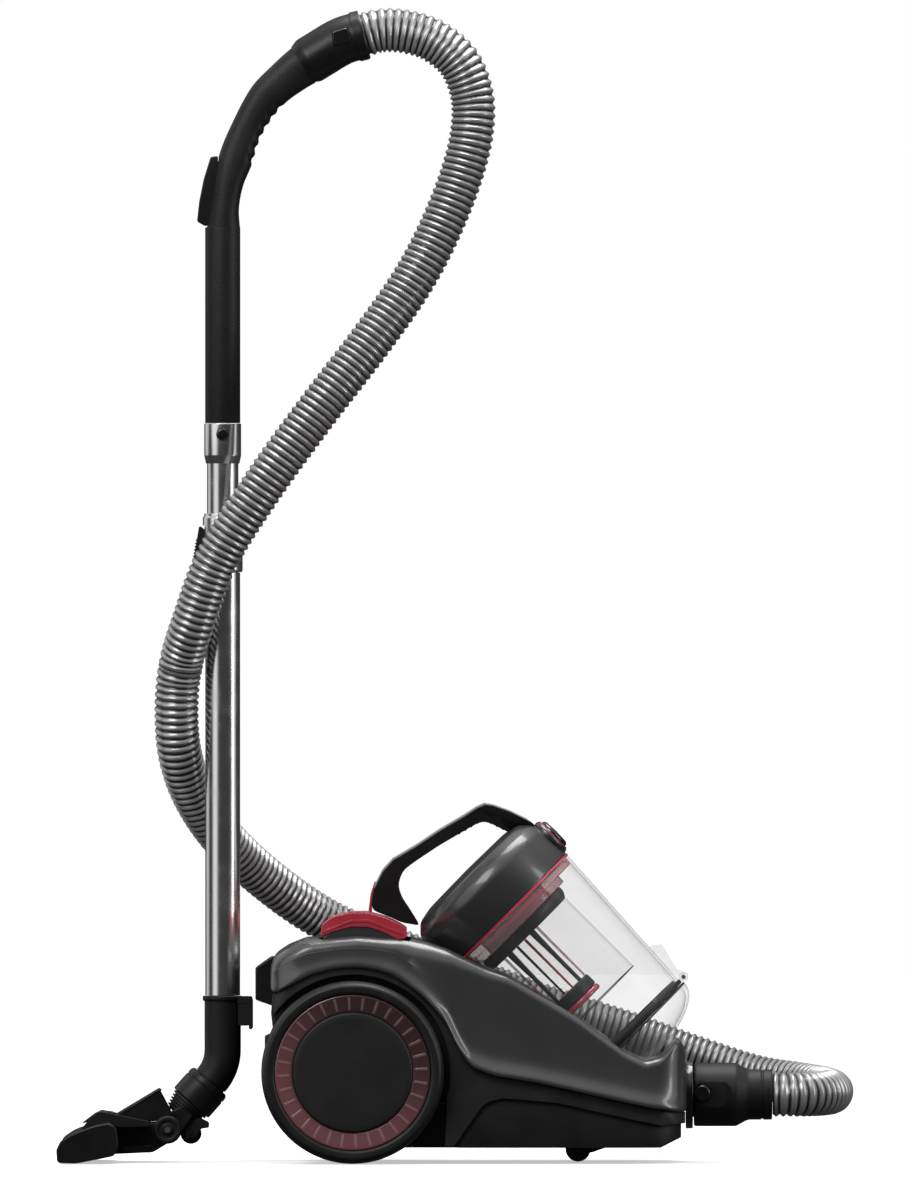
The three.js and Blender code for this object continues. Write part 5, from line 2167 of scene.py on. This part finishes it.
@dataclass
class FloorHead:
    """The floor head: flat body, brush, side caps, neck with bellows, wheels and pedal."""

    half: float = low_high("end_cap_far", 1)[1]
    cap: float = 2 * half_width("end_cap_far", 1)
    body_line: list[Flat] = field(default_factory=lambda: [
        (-357, 14), (-356, 1.2), (-337, 0.6), (-299, 8), (-296, 17), (-298, 35), (-305, 40.5), (-320, 37),
        (-342, 29.5), (-353, 22),
    ])

    def base(self) -> None:
        """The flat body, its deck, arms and slots."""
        reach = self.half - self.cap - 0.3
        bar = Bench.plate("bar", loop_rounded(self.body_line, 4), -reach, reach, 0.8)
        room = Bench.plate(
            "bar_room",
            [
                (-351, 14), (-350, 4.2), (-337, 3.8), (-303, 10.5), (-300, 18), (-302, 32), (-306, 36),
                (-320, 33), (-340, 26), (-349, 19),
            ],
            -reach + 5, reach - 5,
        )
        slots = [
            Bench.plate(
                "sole_slot", [(-346, -2), (-330, -2), (-330, 7), (-346, 7)], -self.half + 14,
                self.half - 14, 1.5,
            ),
            Bench.plate(
                "brush_slot", [(-327, -2), (-319, -2), (-319, 12), (-327, 12)], -self.half + 14,
                self.half - 14,
            ),
            Bench.plate("mouth", [(-306, 17.5), (-290, 17.5), (-290, 33), (-306, 33)], -24, 24),
        ]
        Bench.cut(bar, room, *slots)
        deck = loop_rounded(
            [
                (-333, 33.3), (-322, 47), (-314, 51), (-265, 41), (-264, 36), (-297, 35), (-305, 39),
                (-320, 35),
            ],
            2,
        )
        arm = loop_rounded(
            [(-302, 9), (-262, 9.5), (-243, 21), (-238, 32), (-244, 42), (-256, 40), (-302, 36)], 3,
        )
        parts = [
            bar,
            Bench.plate("tongue", [(-300, 8), (-268, 9.5), (-262, 14), (-262, 17), (-299, 14)], -36, 28, 1),
        ]
        for side in Side:
            parts.append(Bench.plate("deck", deck, *sorted((side.value * 36.2, side.value * 60)), 2.0))
            parts.append(Bench.plate("arm", arm, *sorted((side.value * 31, side.value * 35.5)), 1.0))
        base = Bench.merged("head_base_visual", *parts)
        dress(base, GRAINED, "floor_head", "black_plastic", "head_base")
        carry_over("pitch_pin", STEEL)

    def caps(self) -> None:
        """Side caps, neck cover, pedal and brush."""
        cap = loop_rounded(
            [
                (-357.2, 14), (-356.2, 1), (-337, 0.4), (-299, 7.8), (-295, 17), (-297, 36), (-305, 41),
                (-320, 38), (-342, 30), (-353, 22.5),
            ],
            4,
        )
        for side in Side:
            end = Bench.plate(
                f"cap_{side.label}_visual", cap,
                *sorted((side.value * (self.half - self.cap), side.value * self.half)), 1.5,
            )
            dress(end, BLACK, "floor_head", "black_plastic", f"end_cap_{side.label}")
        roof = Bench.plate(
            "roof", [(-300, 41.5), (-299.5, 47.5), (-256, 73.5), (-253, 71), (-296, 42)], -35.5, 35.5, 1.4,
        )
        cheek = loop_rounded(
            [(-300, 42), (-256, 73), (-243.5, 49.5), (-246, 43.5), (-257, 41.2), (-300, 37.2)], 2.5,
        )
        cover = Bench.merged(
            "cover_visual", roof,
            *(Bench.plate("cheek", cheek, *sorted((s.value * 31, s.value * 35.5)), 1.4) for s in Side),
        )
        dress(cover, BLACK, "floor_head", "black_plastic", "neck_cover")
        blade = loop_rounded(
            [(-333, 38.5), (-322, 47), (-314, 51), (-301.5, 49.6), (-301.5, 46), (-312, 43.6)], 1.5,
        )
        pedal = Bench.plate("pedal_visual", blade, -34, 34, 1.0)
        dress(pedal, GLOSSY, "pedal", "black_plastic", "mode_pedal")
        tufts = []
        for k in range(59):
            y = -116 + k * 4
            tufts.append(
                Bench.plate(
                    "tuft", [(-325.6, 3.4), (-320.4, 4.0), (-321, 12), (-325, 12)], y - 1.4, y + 1.4,
                )
            )
        bar = Bench.plate(
            "brush_bar", [(-326, 9), (-320, 9), (-320, 14), (-326, 14)], -self.half + 16, self.half - 16,
            0.6,
        )
        brush = Bench.merged("brush_visual", bar, *tufts)
        dress(brush, BRISTLE, "brush", "bristle", "brush_strip")

    def neck(self) -> None:
        """Collar, ribbed bellows with its ears and fork, and the rear roller."""
        collar = Bench.turned("collar_visual", rounded([
            (17.6, 1), (20.5, 1), (22.6, 3.5), (23, 8), (22.2, 8.6), (22.2, 9.6), (23, 10.2), (23, 29),
            (22, 30), (13, 30), (13, 13), (17.6, 13), (17.6, 1),
        ], 0.8), NECK.start, NECK.axis, 96)
        dress(collar, BLACK, "neck", "black_plastic", "swivel_collar")
        folds = [(8.0, 30.3), (20.4, 30.3)]
        for k in range(5):
            t, r = 31.2 + k * 3.2, 20.6 - k * 0.8
            folds += [(r, t), (r, t + 1.4), (r - 2.6, t + 1.9), (r - 2.6, t + 2.7)]
        folds += [(12, 48), (8, 48), (8, 30.3)]
        parts = [Bench.turned("bellows", rounded(folds, 0.5, 2), NECK.start, NECK.axis, 96)]
        ear = loop_rounded(
            [
                (-231, 56), (-222, 46), (-236, 27), (-244, 22.5), (-253, 24), (-257, 34), (-251, 42),
                (-243, 51),
            ],
            3,
        )
        fork = loop_rounded(
            [(-233, 45), (-216, 44.5), (-205.6, 39), (-206, 34), (-214, 33), (-219, 23.5), (-229, 23.5)], 2,
        )
        for side in Side:
            parts.append(Bench.plate("ear", ear, *sorted((side.value * 10, side.value * 18)), 1.0))
            parts.append(Bench.plate("fork", fork, *sorted((side.value * 8.2, side.value * 12)), 0.8))
        knuckle = Bench.fused("knuckle_visual", *parts)
        cutters = [
            rod("pin_hole", 3.3, -30, 30, (NECK.pitch[0], 0, NECK.pitch[1]), (0, 1, 0)),
            rod("axle_hole", 2.3, -30, 30, (-224, 0, 28.2), (0, 1, 0)),
            rod("roller_room", 11.2, -8.0, 8.0, (-224, 0, 28.2), (0, 1, 0)),
            Bench.turned(
                "collar_room", [(0, -4), (26, -4), (26, 30.3), (0, 30.3)], NECK.start, NECK.axis, 48,
            ),
        ]
        Bench.cut(knuckle, *cutters)
        Bench.tidy(knuckle, 35)
        dress(knuckle, RUBBER_NECK, "neck", "rubber", "neck_knuckle")
        roll = Bench.turned("roller_visual", rounded([
            (0, -11.5), (2, -11.5), (2, -7.5), (9.4, -7.5), (10.5, -6), (10.5, 6), (9.4, 7.5), (2, 7.5),
            (2, 11.5), (0, 11.5),
        ], 0.7), (-224, 0, 28.2), (0, 1, 0), 64)
        dress(roll, TYRE, "roller", "tyre", "rear_roller")

    def wheels(self) -> None:
        """The two wheels beside the pitch pin."""
        for side, body in ((Side.NEAR, "head_wheel_a"), (Side.FAR, "head_wheel_b")):
            disc = Bench.turned(f"head_wheel_{side.label}_visual", rounded([
                (3.3, 37), (13, 37), (14, 38.4), (14, 43.4), (12.6, 45), (9.5, 45), (8.8, 43.6), (6, 43.6),
                (5.4, 45), (3.3, 45), (3.3, 37),
            ], 0.7), (NECK.pitch[0], 0, NECK.pitch[1]), (0, side.value, 0), 96)
            dress(disc, TYRE, body, "tyre", f"head_wheel_{side.label}")

    def build(self) -> None:
        """Builds and dresses the whole floor head."""
        self.base()
        self.caps()
        self.neck()
        self.wheels()


RUBBER_NECK = Rubber("neck_rubber", (0.007, 0.007, 0.0075), (0.014, 0.014, 0.014), 0.5)


# ---------------------------------------------------------------- studio


@dataclass
class Studio:
    """Camera, pale floor and soft lights."""

    look: Vec = (39.0, 0.0, 561.5)
    distance: float = 30000.0
    lens: float = 900.0
    sensor: float = 36.0
    floor_glow: float = 0.5
    boxes: tuple[tuple[Vec, float, float], ...] = (
        ((-0.75, -0.6, 0.3), 0.88, 1.1), ((0.92, -0.2, 0.25), 0.9, 0.9), ((-0.9, 0.5, 0.35), 0.87, 0.7),
    )

    def camera(self) -> None:
        """A level camera far away on the near side."""
        data = bpy.data.cameras.new("camera")
        data.lens, data.sensor_width, data.sensor_fit = self.lens, self.sensor, "AUTO"
        data.clip_start, data.clip_end = 1.0, 200.0
        camera = bpy.data.objects.new("camera", data)
        camera.location = (self.look[0] * MM, -self.distance * MM, self.look[2] * MM)
        camera.rotation_euler = (math.pi / 2, 0, 0)
        bpy.context.scene.collection.objects.link(camera)
        bpy.context.scene.camera = camera

    def lamp(
        self, name: str, place: Vec, aim: Vec, size: Flat, power: float,
    ) -> None:
        """One soft rectangular light, with places in metres.

        Args:
            name: its name.
            place: where it hangs.
            aim: what it points at.
            size: its two sides.
            power: in watts.
        """
        data = bpy.data.lights.new(name, "AREA")
        data.shape, data.energy = "RECTANGLE", power
        data.size, data.size_y = size
        lamp = bpy.data.objects.new(name, data)
        lamp.location = place
        lamp.rotation_mode = "QUATERNION"
        lamp.rotation_quaternion = (Vector(aim) - Vector(place)).to_track_quat("-Z", "Y")
        bpy.context.scene.collection.objects.link(lamp)

    def surroundings(self) -> None:
        """White to look at, but for light and gloss a dim room with a soft box above and one to each side."""
        world = bpy.data.worlds.new("studio")
        world.use_nodes = True
        bpy.context.scene.world = world
        sheet = Sheet(world.node_tree)
        way = sheet.node("ShaderNodeTexCoord").outputs["Generated"]
        glow = sheet.toward(way, (0, 0, 1)).ramp(0.3, 0.95) * 0.8 + 0.05
        for aim, edge, power in self.boxes:
            spot = sheet.toward(way, tuple(Vector(aim).normalized()))
            glow = glow + spot.ramp(edge, edge + 0.07) * power
        seen = Value(sheet, sheet.node("ShaderNodeLightPath").outputs["Is Camera Ray"])
        strength = seen + (1 - seen) * glow
        background = sheet.node("ShaderNodeBackground", None, {"Color": (1, 1, 1, 1), "Strength": strength})
        sheet.node("ShaderNodeOutputWorld", None, {"Surface": background.outputs[0]})

    def build(self) -> None:
        """Sets the world, the floor and the lights."""
        self.surroundings()
        Bench.clear()
        bpy.ops.mesh.primitive_plane_add(size=30, location=(0, 0, -0.0006))
        floor = bpy.context.object
        floor.name = "floor"
        paper = Moulded("floor", (0.93, 0.93, 0.93), (0.95, 0.95, 0.95), 0.9, 0.05, 9.0, 0.01).material()
        shader = paper.node_tree.nodes["Principled BSDF"]
        shader.inputs["Emission Color"].default_value = (1, 1, 1, 1)
        shader.inputs["Emission Strength"].default_value = self.floor_glow
        floor.data.materials.append(paper)
        floor.visible_diffuse = False
        floor.visible_glossy = False
        self.lamp("key", (-1.1, -2.0, 2.2), (0, 0, 0.4), (1.2, 1.2), 30)
        self.lamp("top", (0.25, 0.3, 2.4), (0.05, 0, 0.2), (1.0, 1.4), 36)
        self.lamp("edge", (1.8, -0.7, 0.9), (0, 0, 0.3), (0.3, 1.4), 8)
        scene = bpy.context.scene
        scene.view_settings.view_transform = "Standard"
        scene.view_settings.look = "None"


def main() -> None:
    """Builds everything in order: camera, hose, then the pieces, then the studio."""
    logging.basicConfig(level=logging.INFO, format="%(name)s: %(message)s")
    studio = Studio()
    studio.camera()
    for part in (Hose(), Canister(), Wheels(), DustCup(), Connector(), Wand(), FloorHead()):
        part.build()
        LOG.info("%s built", type(part).__name__)
    studio.build()


if __name__ == "__main__":
    main()
